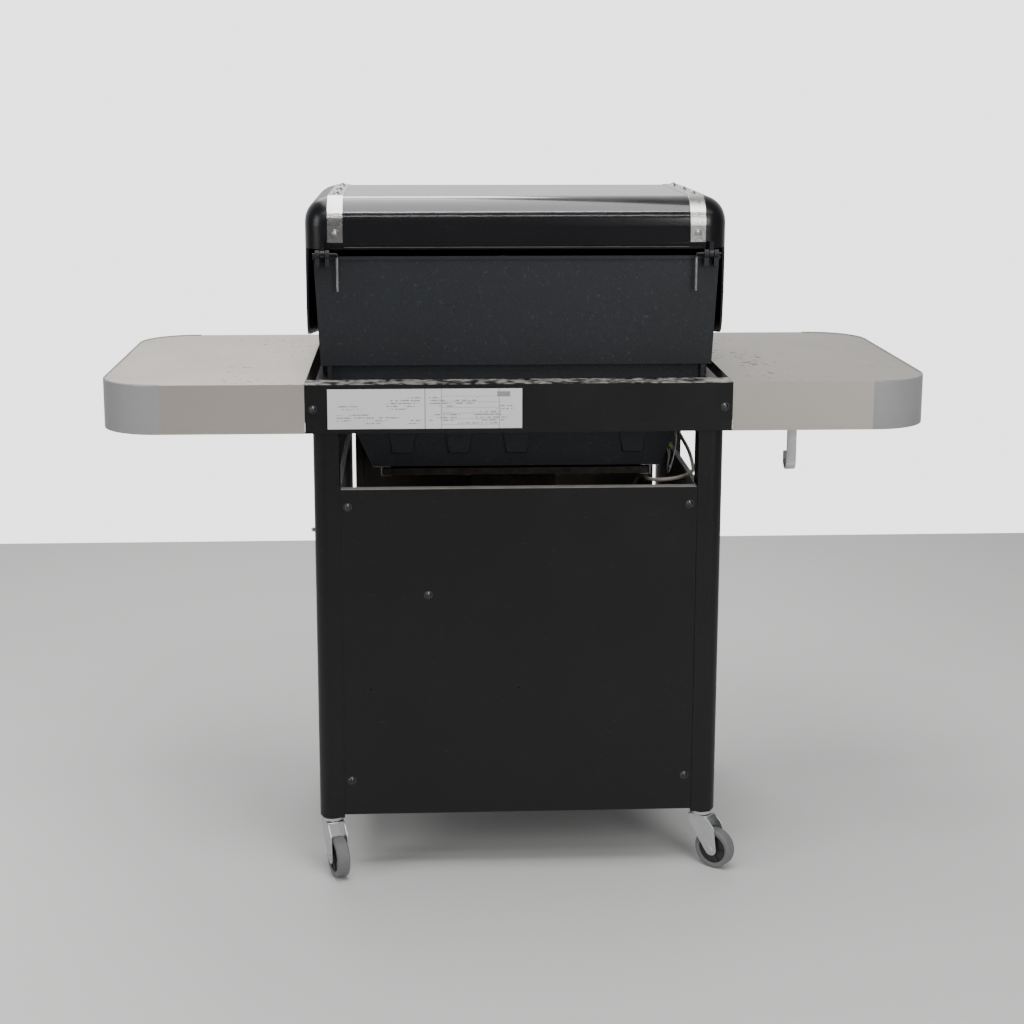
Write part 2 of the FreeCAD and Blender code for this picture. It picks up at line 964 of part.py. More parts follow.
def grates():
    """Two cast cooking grates on the seat ledge, and the wire warming rack above them."""
    half = box_half - upper_taper - box_wall - 1.5
    near = box_rear + box_wall + 2
    far = box_front - box_wall - 2
    bars = 16
    grate_parts = []
    bar = 6
    inside = half - 1.5 - bar
    for i in range(bars):
        x = 1.5 + inside * (i / (bars - 1))
        grate_parts.append(
            box(f"grate_bar_{i}", (x, x + bar), depths(near, far), (seat_height, seat_height + 10))
        )
    for i in range(4):
        depth = near + (far - near - 8) * (i / 3)
        grate_parts.append(
            box(
                f"grate_cross_{i}",
                (1.5, half),
                depths(depth, depth + 8),
                (seat_height, seat_height + 7),
            )
        )
    right = join("grate_right", *grate_parts)
    node("cooking_grates", group("cooking_grates", right, mirror("grate_left", right)))

    rack_z = seat_height + 136
    rack_half = box_half - box_wall - 4.4
    wires = []
    for i, depth in enumerate((box_rear + 22, box_rear + 78, box_rear + 135)):
        wires.append(rod(f"rack_long_{i}", 3, "x", (-rack_half, rack_half), None, back(depth), rack_z))
    for i in range(-11, 12):
        wires.append(
            rod(
                f"rack_cross_{i + 11}",
                1.8,
                "y",
                depths(box_rear + 20, box_rear + 137),
                (rack_half - 18) * (i / 11),
                None,
                rack_z + 3,
            )
        )
    node("warming_rack", join("warming_rack", *wires))


# ---------------------------------------------------------------- gas train and controls
def gas_train():
    """Manifold, three valves with turning cores, knobs with their stems."""
    pipe_z = burner_height - manifold_drop
    pipe_depth = cart_front - 14
    end = igniter_x + 20
    pipe = rod(
        "manifold_pipe",
        manifold_radius,
        "x",
        (-end, burner_pitch + 20),
        None,
        back(pipe_depth),
        pipe_z,
    )
    elbow = rod(
        "manifold_elbow",
        manifold_radius - 1.5,
        "y",
        depths(pipe_depth - 25, pipe_depth),
        -end + 10,
        None,
        pipe_z,
    )
    rail_top = control_bottom + skin + 25
    stands = [
        box(
            f"manifold_stand_{i}",
            (burner_pitch / 2 * i - 7, burner_pitch / 2 * i + 7),
            depths(pipe_depth - 6, pipe_depth + 6),
            (rail_top, pipe_z - manifold_radius + 3),
        )
        for i in (-1, 1)
    ]
    node("manifold", join("manifold", pipe, elbow, *stands))

    bodies = []
    core_near = cart_front - 10
    core_far = cart_front + 2
    for i, side in ((-1, "left"), (0, "centre"), (1, "right")):
        x = burner_pitch * i
        block = box(
            f"valve_block_{side}",
            (x - 13, x + 13),
            depths(cart_front - 26, core_far),
            (pipe_z + manifold_radius, burner_height + 18),
        )
        spud = rod(
            f"valve_spud_{side}",
            5,
            "y",
            depths(cart_front - 44, cart_front - 26),
            x,
            None,
            burner_height,
        )
        bore = rod(
            f"valve_bore_{side}",
            core_radius + running,
            "y",
            depths(core_near - 0.3, core_far + 1),
            x,
            None,
            burner_height,
        )
        stem_room = rod(
            f"valve_stem_room_{side}",
            stem_radius + 0.5,
            "y",
            depths(core_near - 6, core_near),
            x,
            None,
            burner_height,
        )
        bodies.append(
            cut(f"valve_{side}", join(f"valve_solid_{side}", block, spud), bore, stem_room)
        )
        core = cut(
            f"valve_core_{side}",
            rod(
                f"core_round_{side}", core_radius, "y", depths(core_near, core_far), x, None,
                burner_height,
            ),
            rod(
                f"core_hole_{side}",
                stem_radius + running,
                "y",
                depths(core_near - 1, core_far + 1),
                x,
                None,
                burner_height,
            ),
        )
        node(f"valve_core_{side}", core)
        knob(side, x)
    node("valve_bodies", group("valve_bodies", *bodies))


def knob(side, x):
    """A skirted knob with a straight grip, pressed on its stem."""
    base = panel_face + knob_gap
    skirt = rod(f"knob_skirt_{side}", knob_radius, "y", depths(base, base + 5), x, None, burner_height)
    barrel = rod(
        f"knob_barrel_{side}", knob_radius - 6, "y", depths(base, base + 12), x, None, burner_height
    )
    grip = box(
        f"knob_grip_{side}",
        (x - 6, x + 6),
        depths(base + 2, base + 26),
        (burner_height - knob_radius + 3, burner_height + knob_radius - 3),
    )
    blind = rod(
        f"knob_bore_{side}",
        stem_radius + running,
        "y",
        depths(base - 1, base + 16),
        x,
        None,
        burner_height,
    )
    cap = cut(f"knob_cap_{side}", join(f"knob_solid_{side}", skirt, barrel, grip), blind)
    stem = rod(
        f"knob_stem_{side}",
        stem_radius,
        "y",
        depths(cart_front - 10, base + 16),
        x,
        None,
        burner_height,
    )
    node(f"knob_{side}", group(f"knob_{side}", cap, stem))


def control_panel():
    """Folded front panel with the knob and igniter holes; the igniter and its button."""
    top = deck_height - rail_drop
    face = panel_face
    near = cart_front + 2
    shell = prism(
        "panel_fold",
        "YZ",
        [
            (back(near), top),
            (back(face), top),
            (back(face), control_bottom),
            (back(near), control_bottom),
            (back(near), control_bottom + skin),
            (back(face - skin), control_bottom + skin),
            (back(face - skin), top - skin),
            (back(near), top - skin),
        ],
        (-beam_half + seam, beam_half - seam),
    )
    tongue = box(
        "panel_tongue",
        (-leg_in + 1, leg_in - 1),
        depths(cart_front - 29, near + 2),
        (control_bottom, control_bottom + skin),
    )
    end_plate = box(
        "panel_end",
        (beam_half - seam - skin, beam_half - seam),
        depths(near, face),
        (control_bottom, top),
    )
    holes = [
        rod(f"knob_hole_{i}", stem_radius + 2, "y", depths(face - 3, face + 1), burner_pitch * i, None,
            burner_height)
        for i in (-1, 0, 1)
    ]
    holes.append(
        rod("igniter_hole", button_radius + 3, "y", depths(face - 3, face + 1), -igniter_x, None,
            burner_height)
    )
    whole = join("panel_solid", shell, tongue, end_plate, mirror("panel_end_mirror", end_plate))
    pin_span = (control_bottom - 1, control_bottom + skin + 1)
    node("control_panel", cut("control_panel", whole, *holes, *door_pin_holes("panel", pin_span)))

    barrel = rod(
        "igniter_barrel",
        button_radius + 2.8,
        "y",
        depths(face - 46, face),
        -igniter_x,
        None,
        burner_height,
    )
    bezel = rod(
        "igniter_bezel", button_radius + 6, "y", depths(face, face + 3), -igniter_x, None,
        burner_height,
    )
    bore = rod(
        "igniter_bore",
        button_radius + running,
        "y",
        depths(face - 24, face + 4),
        -igniter_x,
        None,
        burner_height,
    )
    node("igniter_module", cut("igniter_module", join("igniter_solid", barrel, bezel), bore))
    button = rod(
        "igniter_button",
        button_radius,
        "y",
        depths(face - 18, face + 8),
        -igniter_x,
        None,
        burner_height,
    )
    node("igniter_button", button)


def hose_and_wires():
    """Supply hose from the manifold to the regulator, and the two igniter leads."""
    pipe_z = number(burner_height - manifold_drop)
    start = number(cart_front - 39)
    side = number(leg_in)
    elbow_x = number(-igniter_x - 10)
    igniter = number(-igniter_x)

    def at(x, depth, z):
        return (x, number(back(depth)), z)

    hose = [
        at(elbow_x, start, pipe_z),
        at(elbow_x, start - 24, pipe_z),
        at(-side + 14, start - 53, pipe_z - 10),
        at(-side + 11, start - 99, pipe_z - 23),
        at(-side + 3, start - 157, pipe_z - 37),
        at(-side - 5, 350, pipe_z - 50),
        at(-side - 11, 292, pipe_z - 64),
        at(-side - 15, 232, pipe_z - 74),
        at(-side - 13, 180, pipe_z - 80),
        at(-side - 10, 138, pipe_z - 85),
        at(-side - 6, 101, pipe_z - 90),
        at(-side + 17, 78, pipe_z - 95),
        at(-side + 49, 78, pipe_z - 100),
        at(-side + 72, 101, pipe_z - 105),
        at(-side + 77, 138, pipe_z - 110),
        at(-side + 78, 186, pipe_z - 115),
        at(-side + 80, 236, pipe_z - 127),
        at(-side + 86, 282, pipe_z - 154),
        at(-side + 88, 300, pipe_z - 191),
        at(-side + 88, 300, pipe_z - 225),
    ]
    node("gas_hose", feature("gas_hose", bent_tube("gas_hose", hose_radius, hose, None)))

    lead_start = number(panel_face - 46)
    top = number(burner_height)
    leads = []
    for i, (aside, low) in enumerate(((0, 0), (3.5, 8))):
        shift = 10 * i
        route = [
            at(igniter - 3 + 6 * i, lead_start, top - 3),
            at(igniter - 3 + 6 * i, lead_start - 20, top - 6 - low / 2),
            at(-side + 16 + 4 * i, 544, top - 13 - low),
            at(-side + 5 + aside, 506 - shift / 2, top - 21 - low),
            at(-side + 6 + aside, 452 - shift, top - 28 - low),
            at(-side + 4 + aside, 396 - shift, top - 45 - low),
            at(-side + aside, 340 - shift, top - 65 - low),
            at(-side + 1 + aside, 284 - shift, top - 86 - low),
            at(-side + 10 + aside, 236 - shift, top - 108 - low),
            at(-side + 21 + aside, 204 - shift, top - 130 - low),
            at(-side + 30 + aside, 180 - shift, top - 137 - low),
            at(-side + 34 + aside, 162 - shift, top - 118 - low),
            at(-side + 30 + aside, 158 - shift, top - 90 - low),
            at(-side + 41 + aside, 174 - shift, top - 66 - low),
        ]
        leads.append(
            feature(f"igniter_lead_{i}", bent_tube(f"igniter_lead_{i}", lead_radius, route, None))
        )
    node("ignition_wires", group("ignition_wires", *leads))

    x = -leg_in + 88
    y = back(300)
    z_top = burner_height - manifold_drop - 225
    neck = rod("regulator_neck", 9, "z", (z_top - 22, z_top), x, y)
    bowl = rod("regulator_bowl", 32, "z", (z_top - 48, z_top - 22), x, y)
    nut = rod("regulator_nut", 15, "y", (y - 62, y - 20), x, None, z_top - 35)
    bore = rod("regulator_bore", 10, "y", (y - 63, y - 34), x, None, z_top - 35)
    bracket = box(
        "regulator_bracket", (-leg_in + skin, x - 20), (y - 12, y + 12), (z_top - 38, z_top - 34)
    )
    plate_x = -leg_in + skin
    plate = box("regulator_plate", (plate_x, plate_x + 3), (y - 25, y + 25), (z_top - 60, z_top - 15))
    solid = join("regulator_solid", neck, bowl, nut, bracket, plate)
    node("regulator", cut("regulator", solid, bore))


# ---------------------------------------------------------------- grease tray and catch pan
def grease_parts():
    """Tray that slides out to the back, catch pan below its drain, and the guides for both."""
    half = tray_half
    tray_low = panel_top + tray_gap
    near = box_rear + 20
    far = box_front - 93
    tray = cut(
        "bottom_tray",
        box("tray_outer", (-half, half), depths(near, far), (tray_low, tray_low + tray_height)),
        box(
            "tray_inner",
            (-half + skin, half - skin),
            depths(near + skin, far - skin),
            (tray_low + skin, tray_low + tray_height + 1),
        ),
        rod("tray_drain", 20, "z", (tray_low - 1, tray_low + skin + 1), 0, back(drain_depth)),
    )
    node("bottom_tray", tray)

    pan_near = drain_depth - pan_length / 2
    pan_far = drain_depth + pan_length / 2
    pan_span = depths(pan_near, pan_far)
    foot_top = tray_low - tray_gap
    pan_half = pan_width / 2
    rim = pan_half + 8
    pan_top = foot_top - 22
    guides = []
    for side, sign in (("left", -1), ("right", 1)):
        def across(low, high):
            return (low, high) if sign > 0 else (-high, -low)

        web = box(
            f"guide_web_{side}",
            across(half + 2, half + 4),
            depths(near, far),
            (foot_top - skin, floor_height),
        )
        flange = box(
            f"guide_flange_{side}",
            across(half - 14, half + 20),
            depths(near, far),
            (floor_height - skin, floor_height),
        )
        foot = box(
            f"guide_foot_{side}",
            across(half - 16, half + 4),
            depths(near + 4, far),
            (foot_top - skin, foot_top),
        )
        guides.append(join(f"guide_{side}", web, flange, foot))
        hook = box(
            f"pan_rail_web_{side}",
            across(rim + 1, rim + 3),
            pan_span,
            (pan_top - 5, foot_top - skin - 5),
        )
        ledge = box(
            f"pan_rail_foot_{side}",
            across(pan_half + 1.5, rim + 3),
            pan_span,
            (pan_top - 5, pan_top - 3),
        )
        guides.append(join(f"pan_rail_{side}", hook, ledge))
    bars = [
        box(
            f"pan_bar_{name}",
            (-half - 4, half + 4),
            depths(depth, depth + 12),
            (foot_top - skin - 5, foot_top - skin),
        )
        for name, depth in (
            ("rear", pan_near),
            ("front", pan_far - 12),
        )
    ]
    node("tray_guides", join("tray_guides", *guides, *bars))

    rim_low = pan_top - 3 + 0.3
    pan = cut(
        "catch_pan",
        join(
            "pan_solid",
            box(
                "pan_body",
                (-pan_half, pan_half),
                depths(pan_near + 2, pan_far - 2),
                (rim_low - pan_height, rim_low),
            ),
            box(
                "pan_rim",
                (-rim, rim),
                depths(pan_near + 2, pan_far - 2),
                (rim_low, rim_low + skin),
            ),
        ),
        box(
            "pan_inner",
            (-pan_half + skin, pan_half - skin),
            depths(pan_near + 2 + skin, pan_far - 2 - skin),
            (rim_low - pan_height + skin, rim_low + skin + 1),
        ),
    )
    node("catch_pan", pan)


# ---------------------------------------------------------------- lid
def side_point(depth, z):
    """A corner of a side outline, in the x = 0 plane."""
    return FreeCAD.Vector(0, number(back(depth)), number(z))


def carried(edges, half):
    """A closed side outline carried across the grill from -half to half."""
    face = Part.Face(Part.Wire(edges))
    face.translate(FreeCAD.Vector(-half, 0, 0))
    return face.extrude(FreeCAD.Vector(2 * half, 0, 0))


def polygon_edges(corners):
    points = [side_point(*corner) for corner in corners]
    return [Part.makeLine(a, b) for a, b in zip(points, points[1:] + points[:1])]


def lid_block(offset, half, low, shoulder=0):
    """The lid's outline, grown by offset, as a solid block that reaches down to low.

    The outline runs up the rear, round the rear roll, along the flat top, round the brow and
    down the front. shoulder rounds both end loops.
    """
    rear_d = number(box_rear) - offset
    front_d = number(lid_front) + offset
    top = number(lid_top) + offset
    roll = number(lid_roll) + offset
    brow = number(lid_brow) + offset
    slack = 1 - math.sqrt(0.5)
    roll_start = side_point(rear_d, top - roll)
    roll_mid = side_point(rear_d + roll * slack, top - roll * slack)
    roll_end = side_point(rear_d + roll, top)
    brow_start = side_point(front_d - brow, top)
    brow_mid = side_point(front_d - brow * slack, top - brow * slack)
    brow_end = side_point(front_d, top - brow)
    block = carried(
        [
            Part.makeLine(side_point(rear_d, low), roll_start),
            Part.Arc(roll_start, roll_mid, roll_end).toShape(),
            Part.makeLine(roll_end, brow_start),
            Part.Arc(brow_start, brow_mid, brow_end).toShape(),
            Part.makeLine(brow_end, side_point(front_d, low)),
            Part.makeLine(side_point(front_d, low), side_point(rear_d, low)),
        ],
        half,
    )
    if not shoulder:
        return block
    loops = []
    for edge in block.Edges:
        middle = edge.valueAt((edge.FirstParameter + edge.LastParameter) / 2)
        if abs(abs(middle.x) - half) < 0.01 and middle.z > low + 1:
            loops.append(edge)
    return block.makeFillet(shoulder, loops)


def below_edge(with_skirt, lift=0):
    """Everything under the lid's lower edge: level for a sheet, following the skirt for a cap."""
    near = box_rear - 30
    far = lid_front + 30
    base = lid_front_bottom - 200
    skirt_rear = box_rear + 30
    corner_low = seat_height + 46
    corners = [
        (far, base),
        (far, lid_front_bottom + lift),
    ]
    if with_skirt:
        corners += [
            (lid_front, lid_front_bottom + lift),
            (skirt_rear + 42, corner_low),
            (skirt_rear + 30, corner_low + 6),
            (skirt_rear + 21, corner_low + 21),
            (skirt_rear, lid_rear_bottom),
        ]
    else:
        corners += [
            (skirt_rear, lid_front_bottom + lift),
            (skirt_rear, lid_rear_bottom + lift),
        ]
    corners += [(near, lid_rear_bottom + lift), (near, base)]
    return carried(polygon_edges(corners), number(lid_half) + 20)


def x_band(start, stop):
    """A block that keeps one band of x and everything else."""
    reach = 3000
    low = FreeCAD.Vector(start, -reach / 2, 0)
    return Part.makeBox(stop - start, reach, reach, low)


def lid():
    """Enamelled centre sheet, two cast end caps, two straps, screws, handle and hinge pins."""
    base = number(lid_front_bottom) - 100
    half = number(lid_half)
    seam_x = number(lid_half - lid_shoulder) - 1
    thin = number(lid_sheet)
    centre = lid_block(0, seam_x, base).cut(lid_block(-thin, seam_x + 1, base - 1))
    hem_low = number(lid_rear_bottom)
    hem_back = number(back(box_rear))
    hem = Part.makeBox(
        2 * seam_x - 4, 6, 11, FreeCAD.Vector(-seam_x + 2, hem_back - 1, hem_low)
    ).cut(Part.makeBox(2 * seam_x, 3, 5, FreeCAD.Vector(-seam_x, hem_back + 2, hem_low + 3)))
    gauge_z = number(lid_top) - 180
    gauge_hole = Part.makeCylinder(
        27, 20, FreeCAD.Vector(0, number(back(lid_front)) - 5, gauge_z), FreeCAD.Vector(0, 1, 0)
    )
    centre = centre.cut(below_edge(False)).fuse(hem).cut(gauge_hole)
    node("lid_shell", feature("lid_shell", centre))

    wall = number(cap_sheet)
    shoulder = number(lid_shoulder)
    block = lid_block(0, half, base, shoulder)
    void = lid_block(-wall, half - wall, base - 1, shoulder - wall)
    cap = block.cut(void).cut(below_edge(True)).common(x_band(seam_x + 0.2, half + 5))
    lug_x = half - 57 + 19
    eye = Part.makeCylinder(
        8,
        8,
        FreeCAD.Vector(lug_x, number(back(hinge_depth)), number(hinge_z)),
        FreeCAD.Vector(1, 0, 0),
    )
    web = Part.makeBox(
        8,
        number(box_rear - hinge_depth) + 4 + 10,
        22,
        FreeCAD.Vector(lug_x, number(back(box_rear + 10)), number(hinge_z)),
    )
    bore = Part.makeCylinder(
        number(hinge_radius + running),
        20,
        FreeCAD.Vector(lug_x - 5, number(back(hinge_depth)), number(hinge_z)),
        FreeCAD.Vector(1, 0, 0),
    )
    cap = cap.fuse(eye).fuse(web.cut(void)).cut(bore)
    right_cap = feature("lid_end_cap_right", cap)
    node("lid_end_cap_right", right_cap)
    node("lid_end_cap_left", mirror("lid_end_cap_left", right_cap))

    strap_in = number(strap_centre - strap_width / 2)
    strap_out = number(strap_centre + strap_width / 2)
    ribbon = lid_block(number(strap_sheet), half, base).cut(lid_block(0, half + 1, base - 1))
    strap = ribbon.cut(below_edge(False, 12)).common(x_band(strap_in, strap_out))
    right_strap = feature("strap_right", strap)
    node("lid_straps", group("lid_straps", right_strap, mirror("strap_left", right_strap)))

    screws = []
    top = lid_top + strap_sheet
    for side, sign in (("left", -1), ("right", 1)):
        x = sign * strap_centre
        for i, depth in enumerate((box_rear + 84, box_rear + 206, box_front - 139)):
            screws.append(
                join(
                    f"lid_screw_{side}_{i}",
                    rod(f"lid_screw_base_{side}_{i}", 7, "z", (top, top + 2), x, back(depth)),
                    rod(f"lid_screw_dome_{side}_{i}", 4.5, "z", (top + 2, top + 4.5), x, back(depth)),
                )
            )
        screws.append(
            join(
                f"lid_rear_screw_{side}",
                rod(
                    f"lid_rear_base_{side}",
                    7,
                    "y",
                    depths(box_rear - strap_sheet - 2, box_rear - strap_sheet),
                    x,
                    None,
                    lid_rear_bottom + 29,
                ),
                rod(
                    f"lid_rear_dome_{side}",
                    5,
                    "y",
                    depths(box_rear - strap_sheet - 6, box_rear - strap_sheet - 2),
                    x,
                    None,
                    lid_rear_bottom + 29,
                ),
            )
        )
    node("lid_screws", group("lid_screws", *screws))

    handle_z = lid_front_bottom + 55
    bar_depth = lid_front + handle_standoff
    bar_half = strap_centre - 33
    grip = rod("handle_bar", handle_radius, "x", (-bar_half, bar_half), None, back(bar_depth), handle_z)
    posts = [
        rod(f"handle_post_{i}", 9, "y", depths(lid_front, bar_depth), i * (bar_half - 20), None, handle_z)
        for i in (-1, 1)
    ]
    node("lid_handle", join("lid_handle", grip, *posts))

    dial = rod("gauge_dial", 32, "y", depths(lid_front, lid_front + 3), 0, None, lid_top - 180)
    bezel = rod("gauge_bezel", 32, "y", depths(lid_front + 3, lid_front + 12), 0, None, lid_top - 180)
    bowl = rod(
        "gauge_bowl", 29, "y", depths(lid_front + 3, lid_front + 10.5), 0, None, lid_top - 180
    )
    probe = rod("gauge_probe", 4, "y", depths(lid_front - 45, lid_front), 0, None, lid_top - 180)
    post = rod(
        "gauge_post", 1.5, "y", depths(lid_front + 3, lid_front + 7), 0, None, lid_top - 180
    )
    gauge = join("gauge_solid", dial, cut("gauge_ring", bezel, bowl), probe, post)
    node("thermometer", gauge)
    boss = rod(
        "needle_boss", 4, "y", depths(lid_front + 4, lid_front + 6), 0, None, lid_top - 180
    )
    pointer = prism(
        "needle_pointer",
        "XZ",
        [
            (-3, lid_top - 180),
            (-19, lid_top - 199),
            (0, lid_top - 183),
        ],
        depths(lid_front + 4, lid_front + 5),
    )
    hole = rod(
        "needle_hole", 1.55, "y", depths(lid_front + 3, lid_front + 8), 0, None, lid_top - 180
    )
    node("thermometer_needle", cut("thermometer_needle", join("needle_solid", boss, pointer), hole))

    pins = []
    for side, sign in (("left", -1), ("right", 1)):
        inner_x = strap_centre - 4
        span = (inner_x, lid_half - 16)
        x = span if sign > 0 else (-span[1], -span[0])
        bar = rod(f"pin_bar_{side}", hinge_radius, "x", x, None, back(hinge_depth), hinge_z)
        tail = rod(
            f"pin_tail_{side}",
            hinge_radius,
            "z",
            (hinge_z - 68, hinge_z),
            sign * inner_x,
            back(hinge_depth),
        )
        corner = doc.addObject("Part::Sphere", f"pin_corner_{side}")
        bind(corner, "Radius", hinge_radius)
        place(corner, sign * inner_x, back(hinge_depth), hinge_z)
        pins.append(join(f"hinge_pin_{side}", bar, tail, corner))
    node("hinge_pins", group("hinge_pins", *pins))


# ---------------------------------------------------------------- doors
def doors():
    """Two folded doors between the front legs, on pins at their outer edges."""
    outer = leg_in - door_side_gap
    low = shelf_top + 2
    near = cart_front - door_thickness
    pan = cut(
        "door_pan",
        box("door_outer", (door_split / 2, outer), depths(near, cart_front), (low, door_top)),
        box(
            "door_hollow",
            (door_split / 2 + skin, outer - skin - 14),
            depths(near - 1, cart_front - skin),
            (low + skin, door_top - skin),
        ),
    )
    pin_x = outer - pin_from_edge
    pin_y = back(cart_front - door_thickness / 2)
    pins = [
        rod("door_pin_low", door_pin_radius, "z", (shelf_top - 8, low + 2), pin_x, pin_y),
        rod("door_pin_high", door_pin_radius, "z", (door_top - 2, door_top + 12), pin_x, pin_y),
    ]
    right = join("door_right", pan, *pins)
    node("door_right", right)
    node("door_left", mirror("door_left", right))

    handle_x = door_split / 2 + 24
    middle = (low + door_top) / 2 + 110
    bar = rod("door_bar", 6, "z", (middle - 80, middle + 80), handle_x, back(cart_front + 32))
    posts = [
        rod(
            f"door_post_{name}", 5, "y", depths(cart_front, cart_front + 32), handle_x, None,
            middle + shift,
        )
        for name, shift in (("low", -64), ("high", 64))
    ]
    handle = join("door_handle_right", bar, *posts)
    node("door_handle_right", handle)
    node("door_handle_left", mirror("door_handle_left", handle))


# ---------------------------------------------------------------- casters
def caster(name, sign, depth, turned, braked):
    """A swivel caster under one leg; its trail points to the rear, then it is turned about Z."""
    fork_in = wheel_width / 2 + 2
    fork_out = fork_in + 2.5
    plate_z = leg_foot - 13
    pieces = [
        rod(f"{name}_stem", caster_stem, "z", (leg_foot - 9, leg_foot + socket_depth - 4), 0, 0),
        rod(f"{name}_cup", 23, "z", (leg_foot - 9, leg_foot - 0.5), 0, 0),
        rod(f"{name}_crown", 25, "z", (plate_z, leg_foot - 9), 0, 0),
    ]
    axle_z = wheel_radius
    brake_y = 24
    brake_z = plate_z - 12
    cheek = prism(
        f"{name}_cheek",
        "YZ",
        [
            (-18, plate_z + 1),
            (-16, plate_z - 16),
            (caster_trail - 12, axle_z - 4),
            (caster_trail - 6, axle_z - 11),
            (caster_trail + 6, axle_z - 11),
            (caster_trail + 12, axle_z - 3),
            (caster_trail + 6, plate_z - 18),
            (20, plate_z + 1),
        ],
        (fork_in, fork_out),
    )
    pieces += [cheek, mirror(f"{name}_cheek_mirror", cheek)]
    pieces.append(
        rod(f"{name}_axle", axle_radius, "x", (-fork_out - 3, fork_out + 3), None, caster_trail, axle_z)
    )
    whole = join(f"{name}_fork_solid", *pieces)
    if braked:
        pin_hole = rod(
            f"{name}_brake_hole", 2.5 + running, "x", (-fork_out - 1, fork_out + 1), None, brake_y, brake_z
        )
        whole = cut(f"{name}_fork_drilled", whole, pin_hole)

    tread = rod(
        f"{name}_tread", wheel_radius, "x", (-wheel_width / 2, wheel_width / 2), None, caster_trail, axle_z
    )
    doc.recompute()
    rim = doc.addObject("Part::Fillet", f"{name}_tread_round")
    rim.Base = tread
    rim.Edges = [
        (i + 1, 4.0, 4.0)
        for i, edge in enumerate(tread.Shape.Edges)
        if isinstance(edge.Curve, Part.Circle)
    ]
    recesses = [
        rod(
            f"{name}_recess_{i}",
            wheel_radius - 10,
            "x",
            span,
            None,
            caster_trail,
            axle_z,
        )
        for i, span in enumerate(
            (
                (wheel_width / 2 - 3, wheel_width / 2 + 1),
                (-wheel_width / 2 - 1, -wheel_width / 2 + 3),
            )
        )
    ]
    bore = rod(
        f"{name}_bore",
        axle_radius + running,
        "x",
        (-wheel_width, wheel_width),
        None,
        caster_trail,
        axle_z,
    )
    hub = rod(
        f"{name}_hub",
        9,
        "x",
        (-wheel_width / 2 - 1, wheel_width / 2 + 1),
        None,
        caster_trail,
        axle_z,
    )
    wheel = cut(
        f"{name}_wheel_solid",
        join(f"{name}_wheel_body", cut(f"{name}_wheel_dished", rim, *recesses), hub),
        bore,
    )

    turned_pieces = [("caster_fork_" + name, whole), ("caster_wheel_" + name, wheel)]
    if braked:
        lever = prism(
            f"{name}_lever_plate",
            "YZ",
            [
                (brake_y - 6, brake_z - 3),
                (brake_y + 10, brake_z - 3),
                (brake_y + 52, brake_z + 1),
                (brake_y + 52, brake_z + 4),
                (brake_y + 8, brake_z + 3),
                (brake_y - 6, brake_z + 3),
            ],
            (-wheel_width / 2, wheel_width / 2),
        )
        pin = rod(f"{name}_lever_pin", 2.5, "x", (-fork_out, fork_out), None, brake_y, brake_z)
        turned_pieces.append(("brake_lever_" + name, join(f"{name}_lever", lever, pin)))
    for label, piece in turned_pieces:
        carrier = group(label, piece)
        carrier.Placement = FreeCAD.Placement(
            FreeCAD.Vector(), FreeCAD.Rotation(FreeCAD.Vector(0, 0, 1), turned)
        )
        place(carrier, sign * leg_mid, back(depth))
        node(label, carrier)


# ---------------------------------------------------------------- hooks
def hooks():
    """Tool hook under the left table; match hook and hanging match holder on the right side."""
    x = (-table_in - 132, -table_in - 114)
    drop = deck_under - 160
    near = 60
    strip = box("hook_strip", x, depths(near, near + 4), (drop, deck_under))
    foot = box("hook_foot", x, depths(near, near + 24), (deck_under - 3, deck_under))
    ring = cut(
        "hook_bend",
        rod("hook_ring_outer", 18, "x", x, None, back(near + 18), drop),
        rod("hook_ring_inner", 14, "x", (x[0] - 1, x[1] + 1), None, back(near + 18), drop),
        box(
            "hook_ring_top",
            (x[0] - 1, x[1] + 1),
            depths(near - 2, near + 38),
            (drop, drop + 20),
        ),
    )
    tip = box("hook_tip", x, depths(near + 32, near + 36), (drop, drop + 14))
    node("tool_hook", join("tool_hook", strip, foot, ring, tip))

    peg_z = shelf_top + 389
    peg_depth = cart_front - leg_side / 2
    reach = leg_out + 37
    peg = rod("match_peg", 3, "x", (leg_out, reach), None, back(peg_depth), peg_z)
    base = rod("match_peg_base", 9, "x", (leg_out, leg_out + 3), None, back(peg_depth), peg_z)
    knob_end = doc.addObject("Part::Sphere", "match_peg_end")
    knob_end.Radius = 5
    place(knob_end, reach, back(peg_depth), peg_z)
    node("match_hook", join("match_hook", peg, base, knob_end))

    ring_x = reach - 12
    ring_loop = doc.addObject("Part::Torus", "match_ring")
    ring_loop.Radius1 = 9
    ring_loop.Radius2 = 1.2
    ring_loop.Placement = FreeCAD.Placement(
        FreeCAD.Vector(), FreeCAD.Rotation(FreeCAD.Vector(0, 1, 0), 90)
    )
    hang = peg_z + 3 + 0.3 - (9 - 1.2)
    place(ring_loop, ring_x, back(peg_depth), hang)
    shank = rod("match_shank", 0.9, "z", (hang - 38.5, hang - 8.7), ring_x, back(peg_depth))
    clip = doc.addObject("Part::Torus", "match_clip")
    clip.Radius1 = 5
    clip.Radius2 = 1.2
    clip.Placement = ring_loop.Placement
    place(clip, ring_x, back(peg_depth), hang - 43)
    node("match_holder", join("match_holder", ring_loop, shank, clip))


